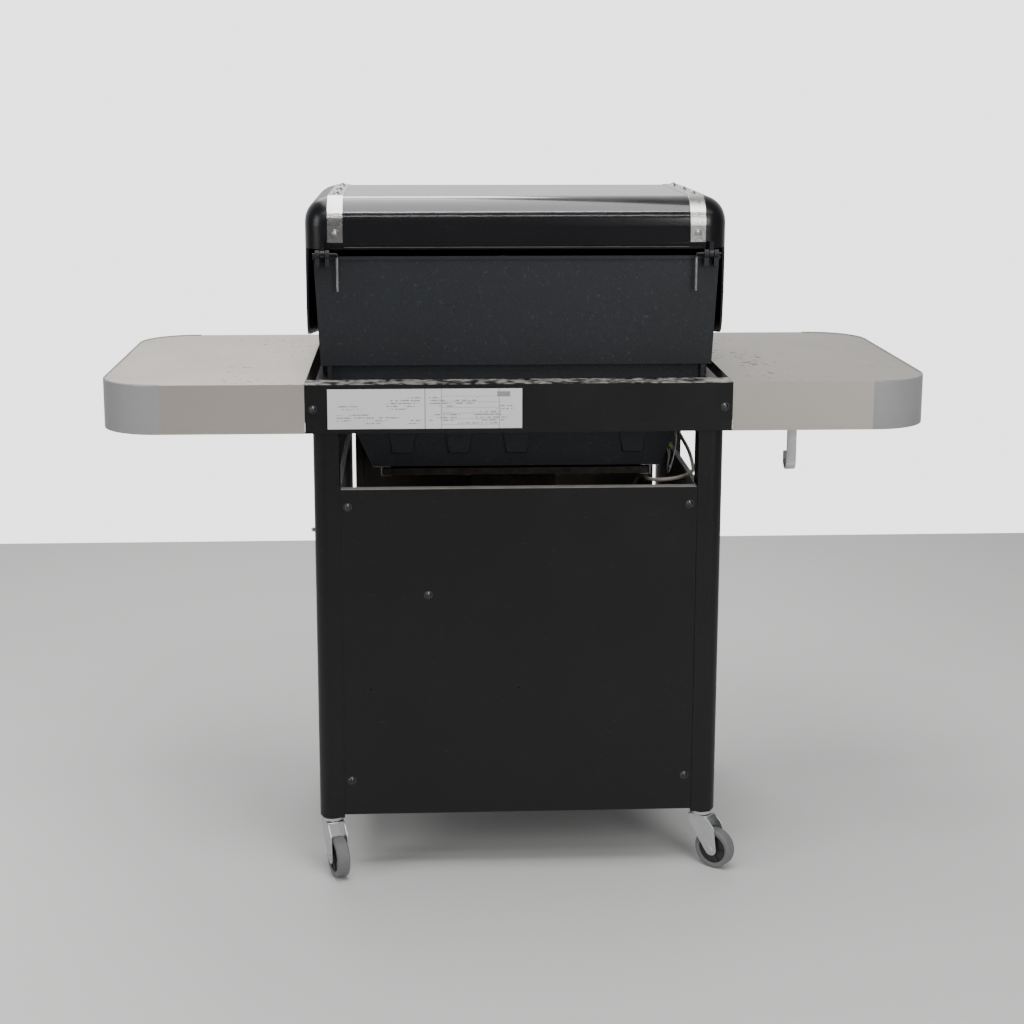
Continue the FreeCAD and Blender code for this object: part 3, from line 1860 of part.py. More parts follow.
def check_and_write():
    """Stop on any failed object, then write one STEP file per node."""
    doc.recompute()
    for obj in doc.Objects:
        if "Invalid" in obj.State or "Error" in obj.State:
            raise RuntimeError(f"{obj.Name} ({obj.Label}) failed: {obj.State}")
    os.makedirs("parts", exist_ok=True)
    for obj in nodes:
        shape = obj.Shape
        if shape.isNull() or not shape.isValid() or not shape.Solids:
            raise RuntimeError(f"{obj.Label} has no valid solid")
        shape.exportStep(f"parts/{obj.Label}.step")
        bounds = shape.BoundBox
        print(
            obj.Label,
            len(shape.Solids),
            [round(v, 1) for v in (bounds.XMin, bounds.XMax, bounds.YMin, bounds.YMax)],
            [round(v, 1) for v in (bounds.ZMin, bounds.ZMax)],
        )


legs()
rear_beam()
frame_rails()
cabinet()
frame_screws()
side_tables()
cookbox()
burners()
grates()
gas_train()
control_panel()
hose_and_wires()
grease_parts()
lid()
doors()
rear_axis = leg_inset + leg_side / 2
front_axis = cart_front - leg_side / 2
caster("rear_left", -1, rear_axis, 51, False)
caster("rear_right", 1, rear_axis, 20, False)
caster("front_left", -1, front_axis, 205, True)
caster("front_right", 1, front_axis, 165, True)
hooks()
check_and_write()
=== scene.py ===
# %% [markdown] A gas barbecue on a cabinet cart: a worked example of dressing an engineering model.
# We add finishes to all of them, and build finer versions of the small parts that a simple solid
# can't carry: casters, screws, knobs, the hose and its wires.

# %% The frame
import json
import math

import bpy
import numpy as np
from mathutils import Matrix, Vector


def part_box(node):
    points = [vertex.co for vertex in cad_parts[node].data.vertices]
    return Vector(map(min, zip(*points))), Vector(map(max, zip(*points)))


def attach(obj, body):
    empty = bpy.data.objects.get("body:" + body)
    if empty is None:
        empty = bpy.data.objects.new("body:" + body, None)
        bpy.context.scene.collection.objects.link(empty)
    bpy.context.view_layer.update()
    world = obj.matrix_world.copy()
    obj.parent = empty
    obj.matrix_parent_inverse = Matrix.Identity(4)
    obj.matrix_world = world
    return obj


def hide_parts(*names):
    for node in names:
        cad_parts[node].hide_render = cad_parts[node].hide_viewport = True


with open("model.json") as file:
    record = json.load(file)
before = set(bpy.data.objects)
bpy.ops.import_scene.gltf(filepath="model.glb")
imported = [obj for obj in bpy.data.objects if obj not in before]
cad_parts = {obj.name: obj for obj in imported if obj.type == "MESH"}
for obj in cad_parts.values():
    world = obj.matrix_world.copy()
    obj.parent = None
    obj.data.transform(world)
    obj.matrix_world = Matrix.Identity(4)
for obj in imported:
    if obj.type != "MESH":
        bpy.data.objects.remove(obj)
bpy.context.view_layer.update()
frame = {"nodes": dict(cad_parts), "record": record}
nodes = frame["nodes"]
print("parts in the frame:", len(nodes))

# %% [markdown]
# The back of the grill is the side that was designed with the most care, so the camera stands
# behind it, a little to one side and a little above the lid. The lens is shifted down instead of
# tilting the camera further, which keeps upright legs nearly upright.

# %% The camera
REAR = 0.31475


def spot(x, depth, z):
    """A place given by x, the distance in front of the rear beam's back face, and z."""
    return (x, REAR - depth, z)


camera = bpy.data.objects.new("camera", bpy.data.cameras.new("camera"))
bpy.context.scene.collection.objects.link(camera)
bpy.context.scene.camera = camera
camera.location = (0.1744, 3.503, 1.4853)
camera.rotation_euler = (math.pi / 2 - 0.1943, -0.0019, math.pi - 0.0498)
camera.data.lens = 63.1
camera.data.sensor_width = 36
camera.data.shift_y = -0.080
camera.data.clip_start = 0.05
print("camera at", tuple(camera.location))

# %% [markdown]
# Black enamel and bright steel show what surrounds them more than they show their own colour. A
# wide soft panel overhead gives the tables their sheen, two thin strips draw the bright lines on
# the lid's rear curve, and a panel behind the camera lights the cabinet. The world is pale beyond
# the grill, because the lid's flat top mirrors it, and dark behind the camera.

# %% Studio
def soft_panel(name, place, target, size, watts):
    """A rectangular area light at a place, turned to face a target."""
    light = bpy.data.lights.new(name, "AREA")
    light.shape = "RECTANGLE"
    light.size, light.size_y = size
    light.energy = watts
    panel = bpy.data.objects.new(name, light)
    bpy.context.scene.collection.objects.link(panel)
    x, y, z = (t - p for t, p in zip(target, place))
    panel.location = place
    panel.rotation_euler = (math.atan2(math.hypot(x, y), -z), 0, math.atan2(y, x) - math.pi / 2)
    return panel


soft_panel("sky_panel", (0.3, 0.1, 3.6), (0, 0, 0.6), (3.6, 1.6), 90)
soft_panel("strip_high", (-0.2, 1.55, 3.1), (0, 0.2, 1.2), (4.2, 0.07), 24)
soft_panel("strip_low", (-0.2, 2.45, 2.9), (0, 0.2, 1.2), (4.2, 0.05), 10)
soft_panel("back_panel", (-1.9, 3.9, 2.2), (0, 0, 0.7), (1.8, 1.8), 75)
soft_panel("side_panel", (3.2, 1.6, 1.9), (0, 0, 0.8), (1.2, 1.8), 30)
soft_panel("front_panel", (0.8, -3.0, 3.6), (0, 0, 0.8), (2.2, 1.6), 60)

world = bpy.data.worlds.new("studio")
bpy.context.scene.world = world
world.use_nodes = True
air = world.node_tree
air.nodes.clear()
paths = air.nodes.new("ShaderNodeLightPath")
seen = air.nodes.new("ShaderNodeBackground")
felt = air.nodes.new("ShaderNodeBackground")
chosen = air.nodes.new("ShaderNodeMixShader")
sent = air.nodes.new("ShaderNodeOutputWorld")
seen.inputs["Color"].default_value = (0.91, 0.91, 0.91, 1)
seen.inputs["Strength"].default_value = 3.0
where = air.nodes.new("ShaderNodeTexCoord")
parts = air.nodes.new("ShaderNodeSeparateXYZ")
span = air.nodes.new("ShaderNodeMapRange")
span.inputs["From Min"].default_value = -0.92
span.inputs["From Max"].default_value = -0.25
span.inputs["To Min"].default_value = 1.0
span.inputs["To Max"].default_value = 0.09
felt.inputs["Color"].default_value = (0.98, 0.985, 1.0, 1)
for a, b in (
    (where.outputs["Generated"], parts.inputs[0]),
    (parts.outputs["Y"], span.inputs["Value"]),
    (span.outputs["Result"], felt.inputs["Strength"]),
    (paths.outputs["Is Camera Ray"], chosen.inputs[0]),
    (felt.outputs[0], chosen.inputs[1]),
    (seen.outputs[0], chosen.inputs[2]),
    (chosen.outputs[0], sent.inputs["Surface"]),
):
    air.links.new(a, b)

# %% [markdown]
# A material is a small graph of nodes. Wiring it by hand hides the arithmetic, so a socket is
# wrapped in a class whose operators each add one Math node: `1 - mask * 0.4` then reads as maths
# and still becomes nodes that anyone can open and change.

# %% Sockets with arithmetic
class Signal:
    """A value in a shader graph."""

    def __init__(self, graph, socket):
        self.graph = graph
        self.socket = socket

    def combine(self, operation, first, second):
        """A Math node on two values or signals."""
        made = self.graph.add("ShaderNodeMath", {"operation": operation}, {0: first, 1: second})
        return made[0]

    def __add__(self, other):
        return self.combine("ADD", self, other)

    def __sub__(self, other):
        return self.combine("SUBTRACT", self, other)

    def __rsub__(self, other):
        return self.combine("SUBTRACT", other, self)

    def __mul__(self, other):
        return self.combine("MULTIPLY", self, other)

    def __truediv__(self, other):
        return self.combine("DIVIDE", self, other)

    def above(self, low, high):
        """0 below low, 1 above high, smooth between; low may be the larger one."""
        settings = {"interpolation_type": "SMOOTHSTEP"}
        made = self.graph.add(
            "ShaderNodeMapRange", settings, {"Value": self, "From Min": low, "From Max": high}
        )
        return made[0]

    def away(self, centre):
        """The distance from a value."""
        return self.combine("ABSOLUTE", self - centre, 0)

    def most(self, other):
        """The larger of two values."""
        return self.combine("MAXIMUM", self, other)

    def wave(self, pitch):
        """The remainder of the value over a pitch, from 0 to the pitch."""
        return self.combine("FLOORED_MODULO", self, pitch)

    __radd__ = __add__
    __rmul__ = __mul__


print("a signal knows:", ", ".join(name for name in vars(Signal) if not name.startswith("_")))

# %% [markdown]
# A graph holds the nodes of one material. Every pattern reads the object's own coordinates, which
# are metres here, so a noise scale of 100 makes lumps of about a centimetre wherever a part sits.

# %% A graph of nodes
class Graph:
    """The nodes of one material, with the patterns that the finishes share."""

    def __init__(self, name):
        self.material = bpy.data.materials.new(name)
        self.material.use_nodes = True
        self.tree = self.material.node_tree
        self.tree.nodes.clear()
        self.place = self.add("ShaderNodeTexCoord", {}, {})[3]

    def add(self, kind, settings, values):
        """One node: its type, its settings, then each socket's value or link; gives its outputs."""
        made = self.tree.nodes.new(kind)
        for key, value in settings.items():
            setattr(made, key, value)
        for key, value in values.items():
            if isinstance(value, Signal):
                self.tree.links.new(value.socket, made.inputs[key])
            else:
                made.inputs[key].default_value = value
        return [Signal(self, output) for output in made.outputs]

    def stretched(self, x, y, z):
        """The object's coordinates, each multiplied by its own number."""
        return self.add("ShaderNodeMapping", {}, {"Vector": self.place, "Scale": (x, y, z)})[0]

    def noise(self, scale, detail=2.0, rough=0.5, at=None):
        """Smooth random lumps between 0 and 1, scale of them to a metre."""
        values = {"Vector": at or self.place, "Scale": scale, "Detail": detail, "Roughness": rough}
        return self.add("ShaderNodeTexNoise", {}, values)[0]

    def cells(self, scale, at=None):
        """The distance to the nearest of many scattered points."""
        return self.add("ShaderNodeTexVoronoi", {}, {"Vector": at or self.place, "Scale": scale})[0]

    def axes(self):
        """The object's x, y and z as three signals."""
        return self.add("ShaderNodeSeparateXYZ", {}, {0: self.place})

    def facing(self):
        """The three parts of the surface's own normal."""
        return self.add("ShaderNodeSeparateXYZ", {}, {0: self.add("ShaderNodeNewGeometry", {}, {})[1]})

    def mix(self, factor, first, second):
        """A colour between two, each four numbers or a colour signal."""
        settings = {"data_type": "RGBA"}
        made = self.add("ShaderNodeMix", settings, {0: factor, 6: first, 7: second})
        return made[2]

    def finish(self, colour, roughness, metallic=0.0, height=None, depth=0.001, strength=0.5, **fixed):
        """Feed the surface shader and return the material."""
        values = {"Base Color": colour, "Roughness": roughness, "Metallic": metallic, **fixed}
        if height is not None:
            bump = {"Height": height, "Distance": depth, "Strength": strength}
            values["Normal"] = self.add("ShaderNodeBump", {}, bump)[0]
        shader = self.add("ShaderNodeBsdfPrincipled", {}, values)[0]
        self.add("ShaderNodeOutputMaterial", {}, {0: shader})
        return self.material


def tone(red, green, blue):
    """A linear colour with its alpha."""
    return (red, green, blue, 1.0)


finishes = {}


def make(*makers):
    """Build each finish, keep it under its function's name, and print its size."""
    for maker in makers:
        finishes[maker.__name__] = maker()
        print(maker.__name__, "has", len(finishes[maker.__name__].node_tree.nodes), "nodes")


print("finishes so far:", len(finishes))

# %% [markdown]
# Most of the cart is sheet steel under satin black powder paint. The paint has a fine orange-peel
# texture, gathers pale dust, and is rubbed through to grey where hands and covers drag over its
# edges; on the beam's top the grey patches also stand for a painted reflection. Three noises at
# three sizes give those three things.

# %% Black paint
def dust(graph, scale, share):
    """Small scattered specks: the nearest-point distance cut off close to each point."""
    size = graph.noise(scale * 0.31, 1.0)
    near = graph.cells(scale).above(0.16, 0.05)
    return near * size.above(1 - share, 1.0 - share * 0.4)


def black_paint():
    """Satin black, with a painted reflection among rubbed grey patches on the beam's top, and bare metal
    rubbed through on the rear panel's lip.
    """
    graph = Graph("black_paint")
    x, _, z = graph.axes()[:3]
    cloud = graph.noise(7, 4)
    peel = graph.noise(900, 2)
    grime = dust(graph, 190, 0.42)
    scuffs = graph.noise(34, 3, 0.7, graph.stretched(1, 1, 5)).above(0.64, 0.76) * graph.noise(260, 2)
    # The beam's top flange: patchy grey that is partly rubbed paint and partly a painted reflection.
    edge = z.above(0.9415, 0.9424) * graph.noise(60, 3).above(0.36, 0.66)
    lip = z.away(0.7476).above(0.0009, 0.0003) * x.away(0).above(0.3264, 0.3260)
    lip = lip * (0.45 + graph.noise(25, 2) * 0.6)
    # Rubbed metal mixed with the painted reflection on the beam's top.
    wear_and_sheen = edge.most(lip)
    colour = graph.mix(cloud, tone(0.0035, 0.0036, 0.0040), tone(0.0080, 0.0081, 0.0088))
    colour = graph.mix(grime * 0.35, colour, tone(0.2, 0.2, 0.2))
    colour = graph.mix(scuffs * 0.14, colour, tone(0.16, 0.16, 0.165))
    colour = graph.mix(wear_and_sheen * 0.75, colour, tone(0.42, 0.4, 0.37))
    roughness = 0.31 + cloud * 0.16 + scuffs * 0.15
    return graph.finish(colour, roughness, 0.0, peel, 0.0002, 0.25, **{"Specular IOR Level": 0.3})


make(black_paint)

# %% [markdown]
# Brushed steel is not one colour: the brushing leaves thousands of fine grooves in one direction,
# which spread the highlight across the grain. Noise squeezed along X makes the grooves. Long
# scratches run over them at an angle, and dried food leaves brown specks close to the lid. Upright
# faces are less metallic than the tops and are given a paler colour, a painted reflection. The
# tables' end caps are painted grey, with an orange-peel skin.

# %% Brushed steel tables and trim
def stainless():
    """Grooves along X under haze and crossing scratches, with dirt on the upward faces only."""
    graph = Graph("stainless")
    x = graph.axes()[0]
    up = graph.facing()[2].above(0.5, 0.9)
    grain = graph.noise(1.0, 3, 0.6, graph.stretched(9, 1500, 1500))
    broad = graph.noise(1.0, 3, 0.55, graph.stretched(1.6, 26, 26))
    haze = graph.noise(6, 4, 0.6)
    tilted = graph.add(
        "ShaderNodeMapping", {}, {"Vector": graph.place, "Rotation": (0, 0, 0.5), "Scale": (6, 420, 60)}
    )[0]
    scratches = graph.noise(1.0, 2, 0.5, tilted).above(0.70, 0.78)
    inner = x.away(0).above(0.66, 0.38)
    stains = graph.noise(75, 3, 0.6).above(0.58, 0.67) * graph.noise(9, 2).above(0.42, 0.62)
    crumbs = graph.cells(85).above(0.13, 0.05) * graph.noise(30, 2).above(0.44, 0.56)
    specks = dust(graph, 120, 0.6)
    dirt = (stains * (0.3 + inner) + specks * (0.4 + inner * 0.6) + crumbs * 1.4) * up
    warm = graph.mix(haze, tone(0.40, 0.355, 0.29), tone(0.58, 0.53, 0.455))
    colour = graph.mix(grain * 0.30 + broad * 0.25, warm, tone(0.31, 0.295, 0.275))
    colour = graph.mix(dirt.above(0, 1) * 0.85, colour, tone(0.10, 0.065, 0.04))
    # Upright faces are mixed towards a pale tone: a painted reflection.
    upright_sheen = graph.mix(0.55, colour, tone(0.62, 0.57, 0.52))
    colour = graph.mix(up, upright_sheen, colour)
    roughness = 0.24 + grain * 0.14 + haze * 0.10 + dirt * 0.3
    metal = 0.62 + up * 0.38 - dirt.above(0.1, 1) * 0.8 * up
    height = grain * 0.5 - scratches * 0.8
    return graph.finish(colour, roughness, metal, height, 0.0002, 0.35)


def grey_cap():
    """Grey paint that darkens near its lower edge."""
    graph = Graph("grey_cap")
    z = graph.axes()[2]
    cloud = graph.noise(5, 3)
    peel = graph.noise(700, 2)
    grime = dust(graph, 150, 0.5)
    low = z.above(0.905, 0.853) * graph.noise(14, 3).above(0.35, 0.8)
    rubs = graph.noise(1, 2, 0.5, graph.stretched(40, 40, 6)).above(0.62, 0.74)
    colour = graph.mix(cloud, tone(0.285, 0.285, 0.295), tone(0.345, 0.343, 0.352))
    colour = graph.mix(grime * 0.6, colour, tone(0.07, 0.06, 0.055))
    colour = graph.mix(low * 0.3 + rubs * 0.12, colour, tone(0.2, 0.2, 0.21))
    return graph.finish(colour, 0.38 + cloud * 0.15 + rubs * 0.1, 0.0, peel, 0.0002, 0.2)


make(stainless, grey_cap)

# %% [markdown]
# The firebox is an aluminium sand casting under heat-proof paint. Sand leaves a grainy skin, so
# the bump matters more than the colour here: two noises, one the size of the grains and one the
# size of the mould's unevenness. Grease burns on the inside, which is darker and rougher.

# %% Cast firebox
def cast_black():
    """Sand-cast skin: fine grains over broad waves, with grey ash caught in it."""
    graph = Graph("cast_black")
    grains = graph.noise(420, 3, 0.7)
    waves = graph.noise(38, 3)
    cloud = graph.noise(5, 4, 0.6)
    ash = graph.noise(170, 2).above(0.62, 0.75) * cloud
    colour = graph.mix(cloud, tone(0.0075, 0.0088, 0.0112), tone(0.0155, 0.0180, 0.0222))
    colour = graph.mix(ash * 0.25, colour, tone(0.14, 0.145, 0.15))
    colour = graph.mix(grains.above(0.5, 0.8) * 0.5, colour, tone(0.035, 0.040, 0.048))
    roughness = 0.44 + grains * 0.18
    height = grains * 0.8 + waves * 0.5
    return graph.finish(colour, roughness, 0.0, height, 0.0009, 0.55, **{"Specular IOR Level": 0.35})


def cast_iron():
    """Seasoned iron, brown-black and rough."""
    graph = Graph("cast_iron")
    grains = graph.noise(500, 3, 0.7)
    char = graph.noise(22, 4, 0.6)
    colour = graph.mix(char, tone(0.012, 0.011, 0.0105), tone(0.06, 0.05, 0.043))
    return graph.finish(colour, 0.5 + char * 0.3, 0.2, grains + char, 0.0008, 0.6)


make(cast_black, cast_iron)

# %% [markdown]
# The lid's centre is pressed steel with glass enamel fired onto it: deep black under a clear,
# hard, slightly wavy layer. A clear coat gives that second layer. Its end caps are painted
# castings, so they share the depth but not the gloss.

# %% Lid finishes
def enamel_black():
    """Glossy black under a clear coat, with a film of dried grease where it faces up."""
    graph = Graph("enamel_black")
    waves = graph.noise(16, 2)
    mist = graph.noise(4, 4, 0.6)
    specks = dust(graph, 160, 0.5)
    smears = graph.noise(1, 4, 0.65, graph.stretched(2.2, 24, 24)).above(0.42, 0.75)
    up = graph.facing()[2].above(0.6, 0.95)
    film = (smears * 0.6 + mist * 0.5) * up
    colour = graph.mix(mist, tone(0.005, 0.005, 0.006), tone(0.009, 0.0092, 0.0105))
    colour = graph.mix(specks * 0.3, colour, tone(0.25, 0.25, 0.25))
    colour = graph.mix(film * 0.30, colour, tone(0.33, 0.32, 0.29))
    roughness = 0.13 + mist * 0.08 + film * 0.12
    return graph.finish(
        colour, roughness, 0.0, waves, 0.0006, 0.12, **{"Coat Weight": 0.8, "Coat Roughness": 0.08}
    )


def cap_black():
    """Semi-gloss black over a casting."""
    graph = Graph("cap_black")
    cloud = graph.noise(6, 4)
    peel = graph.noise(480, 2)
    specks = dust(graph, 140, 0.5)
    colour = graph.mix(cloud, tone(0.004, 0.0042, 0.0050), tone(0.0085, 0.0088, 0.0102))
    colour = graph.mix(specks * 0.3, colour, tone(0.22, 0.22, 0.22))
    return graph.finish(
        colour, 0.24 + cloud * 0.12, 0.0, peel, 0.0003, 0.22, **{"Specular IOR Level": 0.4}
    )


make(enamel_black, cap_black)

# %% [markdown]
# Bright parts differ mostly in how far they have lost their polish. One function makes them all
# from a base colour, a roughness, and how much tarnish lies on them, so they stay a family.

# %% Bright metals
def bright_metal(name, low, high, roughness, tarnish, grain=0.2, stretch=(1, 1, 1)):
    """Metal between two tones, with scattered tarnish and fine marks that stretch may draw out."""
    graph = Graph(name)
    cloud = graph.noise(60, 4, 0.6)
    marks = graph.noise(1, 3, 0.6, graph.stretched(*(300 * s for s in stretch)))
    rust = graph.noise(210, 3, 0.65).above(0.60, 0.72) * graph.noise(40, 2).above(0.45, 0.65)
    colour = graph.mix(cloud, low, high)
    colour = graph.mix(rust * tarnish, colour, tone(0.10, 0.06, 0.04))
    rough = roughness + cloud * 0.12 + rust * tarnish * 0.4
    return graph.finish(colour, rough, 1.0 - rust * tarnish * 0.9, marks, 0.0003, grain)


def plain_surface(name, low, high, roughness, size, depth, metallic=0.0, **fixed):
    """A coloured surface with two tones and a fine moulded or woven texture."""
    graph = Graph(name)
    cloud = graph.noise(size * 0.08, 3)
    texture = graph.noise(size, 3, 0.6)
    grime = dust(graph, size * 0.5, 0.35)
    colour = graph.mix(cloud, low, high)
    colour = graph.mix(grime * 0.3, colour, tone(0.09, 0.08, 0.07))
    return graph.finish(colour, roughness + texture * 0.12, metallic, texture, depth, 0.35, **fixed)


def zinc_flange_painted_shade():
    """Zinc sheet whose rear flange is coloured black to stand for the shade in the gap beside the back
    panel.
    """
    graph = Graph("zinc_flange_painted_shade")
    cloud = graph.noise(60, 4, 0.6)
    # The rear flange, seen through the gap beside the back panel, is coloured black as painted shade.
    gap_shade = graph.axes()[1].above(0.2935, 0.2945)
    colour = graph.mix(cloud, tone(0.30, 0.30, 0.30), tone(0.48, 0.485, 0.49))
    colour = graph.mix(gap_shade, colour, tone(0.006, 0.006, 0.007))
    return graph.finish(colour, 0.42 + cloud * 0.12, 0.9 * (1 - gap_shade), cloud, 0.0003, 0.2)


make(zinc_flange_painted_shade)

# %% [markdown]
# The rear plate of an appliance carries a data label. Ours says nothing: it has two panels, a few
# ruled boxes and rows of grey dashes, which is how a designer marks where print will go. The rows
# come from the remainder of Z over a pitch, and noise along X breaks them into dashes.

# %% Blank label
def label_paper():
    """Pale paper with dashes, a split down its middle, one ruled box and one grey patch."""
    graph = Graph("label_paper")
    x, _, z = graph.axes()[:3]
    low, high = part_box("rear_label")
    middle = (low.x + high.x) / 2
    side = x.away(middle)
    rows = z.wave(0.0052).away(0.0026).above(0.0013, 0.0008)
    breaks = graph.noise(1, 1, 0.5, graph.stretched(260, 1, 190)).above(0.44, 0.5)
    gaps = graph.noise(1, 0, 0.5, graph.stretched(22, 1, 90)).above(0.5, 0.54)
    inside = side.above(0.160, 0.158) * side.above(0.006, 0.008)
    body = z.above(low.z + 0.006, low.z + 0.007) * z.above(high.z - 0.014, high.z - 0.015)
    dashes = rows * breaks * gaps * inside * body
    split = side.above(0.0012, 0.0006)
    from_box = x.away(middle - 0.082)
    box_x = from_box.above(0.0535, 0.0525)
    ring = box_x * (1 - from_box.above(0.0520, 0.0510))
    below_top = z.above(high.z - 0.011, high.z - 0.012)
    grid = z.wave(0.0104).away(0.0052).above(0.0004, 0.0002) * box_x * below_top
    badge = x.away(middle - 0.142).above(0.012, 0.0115) * z.away(high.z - 0.010).above(0.005, 0.0046)
    ink = dashes.most(split).most(grid).most(ring * 0.8).most(badge)
    aged = graph.noise(9, 3)
    paper = graph.mix(aged, tone(0.66, 0.67, 0.66), tone(0.76, 0.77, 0.765))
    colour = graph.mix(ink * 0.72, paper, tone(0.12, 0.12, 0.13))
    return graph.finish(colour, 0.34 + aged * 0.1, 0.0, aged, 0.0002, 0.1)


make(label_paper)

# %% [markdown]
# The simpler finishes are rows of two tables: a dark tone, a light tone, a roughness, then for a
# metal its tarnish, and for a plain surface the scale and depth of its texture.

# %% All finishes
METALS = {
    "bright_strap": (tone(0.62, 0.6, 0.57), tone(0.8, 0.79, 0.77), 0.16, 0.25, 0.25, (9, 1, 1)),
    "zinc": (tone(0.48, 0.49, 0.50), tone(0.66, 0.67, 0.68), 0.30, 0.55),
    "screw_steel": (tone(0.34, 0.34, 0.34), tone(0.55, 0.55, 0.56), 0.25, 0.7),
    "burner_steel": (tone(0.30, 0.24, 0.19), tone(0.46, 0.42, 0.38), 0.35, 0.9, 0.3, (1, 9, 9)),
    "wire_chrome": (tone(0.5, 0.48, 0.45), tone(0.7, 0.69, 0.68), 0.2, 0.6),
    "brass": (tone(0.55, 0.38, 0.13), tone(0.74, 0.55, 0.24), 0.28, 0.3),
    "aluminium": (tone(0.5, 0.5, 0.51), tone(0.66, 0.66, 0.67), 0.36, 0.2),
    "galvanised": (tone(0.34, 0.35, 0.36), tone(0.52, 0.53, 0.54), 0.4, 0.5),
    "dark_screw": (tone(0.03, 0.03, 0.032), tone(0.14, 0.14, 0.145), 0.26, 0.3),
    "greasy_sheet": (tone(0.02, 0.018, 0.016), tone(0.09, 0.08, 0.07), 0.4, 0.9),
}
PLAIN = {
    "edge_grey": (tone(0.10, 0.10, 0.11), tone(0.22, 0.22, 0.23), 0.3, 400, 0.0001),
    "needle_red": (tone(0.42, 0.02, 0.015), tone(0.55, 0.035, 0.02), 0.35, 300, 0.0001),
    "knob_plastic": (tone(0.010, 0.010, 0.011), tone(0.02, 0.02, 0.021), 0.28, 420, 0.0002),
    "lever_grey": (tone(0.03, 0.03, 0.032), tone(0.06, 0.06, 0.062), 0.45, 300, 0.0003),
    "tread_grey": (tone(0.13, 0.13, 0.132), tone(0.22, 0.22, 0.222), 0.55, 240, 0.0004),
    "hub_black": (tone(0.010, 0.010, 0.011), tone(0.026, 0.026, 0.028), 0.4, 300, 0.0003),
    "grey_hose": (tone(0.36, 0.33, 0.28), tone(0.46, 0.43, 0.37), 0.5, 700, 0.0003),
    "white_wire": (tone(0.60, 0.60, 0.58), tone(0.74, 0.74, 0.72), 0.4, 900, 0.0002),
    "green_sleeve": (tone(0.30, 0.38, 0.06), tone(0.45, 0.52, 0.10), 0.4, 900, 0.0002),
    "regulator_grey": (tone(0.16, 0.17, 0.185), tone(0.22, 0.23, 0.245), 0.4, 350, 0.0003),
    "dial_white": (tone(0.62, 0.62, 0.61), tone(0.70, 0.70, 0.69), 0.3, 300, 0.0001),
    "print_black": (tone(0.01, 0.01, 0.01), tone(0.02, 0.02, 0.02), 0.4, 500, 0.0001),
}
finishes.update({name: bright_metal(name, *values) for name, values in METALS.items()})
finishes.update({name: plain_surface(name, *values) for name, values in PLAIN.items()})
finishes["dial_face"] = finishes["bright_strap"]
wanted = {entry["node"]: entry["material_slot"] for entry in frame["record"]["subparts"]}
# The side panels take zinc with painted shade on their rear flange; the tray and the pan take greasy
# sheet.
wanted.update(side_panels="zinc_flange_painted_shade", bottom_tray="greasy_sheet", catch_pan="greasy_sheet")
for name, part in nodes.items():
    part.data.materials.clear()
    part.data.materials.append(finishes[wanted[name]])
print("finishes:", len(finishes))

# %% [markdown]
# Nearly every small part of a machine is either turned, bent from rod, or cut from plate. So three
# functions make almost everything: one spins a profile round an axis, one carries a section along
# a path, one gives a flat outline a thickness with broken edges. Each works on whole arrays and
# returns plain corners and faces, so that several can be welded into a single piece.

# %% Surfaces from formulas
def outward(corners, faces):
    """Turn the faces round if the solid they close has a negative volume."""
    fan = np.array([(f[0], f[i], f[i + 1]) for f in faces for i in range(1, len(f) - 1)])
    a, b, c = (corners[fan[:, k]] for k in range(3))
    if np.einsum("ij,ij->i", a, np.cross(b, c)).sum() < 0:
        faces = [tuple(reversed(f)) for f in faces]
    return corners, faces


def skin_grid(grid, loop=False, poles=True):
    """Faces over a grid of points whose columns close on themselves.

    Rows are joined one to the next; loop also joins the last row to the first, and poles closes
    each end with a fan about the row's mean.
    """
    rows, columns = grid.shape[:2]
    corners = grid.reshape(-1, 3)
    r, c = np.meshgrid(np.arange(rows if loop else rows - 1), np.arange(columns), indexing="ij")
    after, right = (r + 1) % rows, (c + 1) % columns
    quads = np.stack(
        [r * columns + c, r * columns + right, after * columns + right, after * columns + c], -1
    )
    faces = [tuple(quad) for quad in quads.reshape(-1, 4).tolist()]
    if poles and not loop:
        corners = np.vstack([corners, grid[0].mean(0), grid[-1].mean(0)])
        first, last = len(corners) - 2, len(corners) - 1
        base = (rows - 1) * columns
        for i in range(columns):
            j = (i + 1) % columns
            faces.append((first, j, i))
            faces.append((last, base + i, base + j))
    return outward(corners, faces)


print("faces that join rings of points: ready")

# %% [markdown]
# A knob or a wheel is turned on a lathe, and a rod or a hook is bent along a line, so one function
# spins a profile and another carries a section. Both only fill in a grid of points.

# %% Turned and carried shapes
def frame_about(axis):
    """Two unit vectors that make a right-handed set with a unit axis."""
    axis = np.asarray(axis, float) / np.linalg.norm(axis)
    other = np.array([0.0, 0.0, 1.0]) if abs(axis[2]) < 0.9 else np.array([1.0, 0.0, 0.0])
    u = np.cross(other, axis)
    u /= np.linalg.norm(u)
    return u, np.cross(axis, u), axis


def turned(profile, place, axis, segments=40, loop=False):
    """A profile of (radius, distance along the axis) spun about the axis.

    Each point goes to place + along * axis + radius * (cos t * u + sin t * v).
    """
    u, v, w = frame_about(axis)
    t = np.linspace(0, 2 * np.pi, segments, endpoint=False)
    around = np.outer(np.cos(t), u) + np.outer(np.sin(t), v)
    profile = np.asarray(profile, float)
    grid = np.asarray(place) + profile[:, 1, None, None] * w + profile[:, 0, None, None] * around
    return skin_grid(grid, loop)


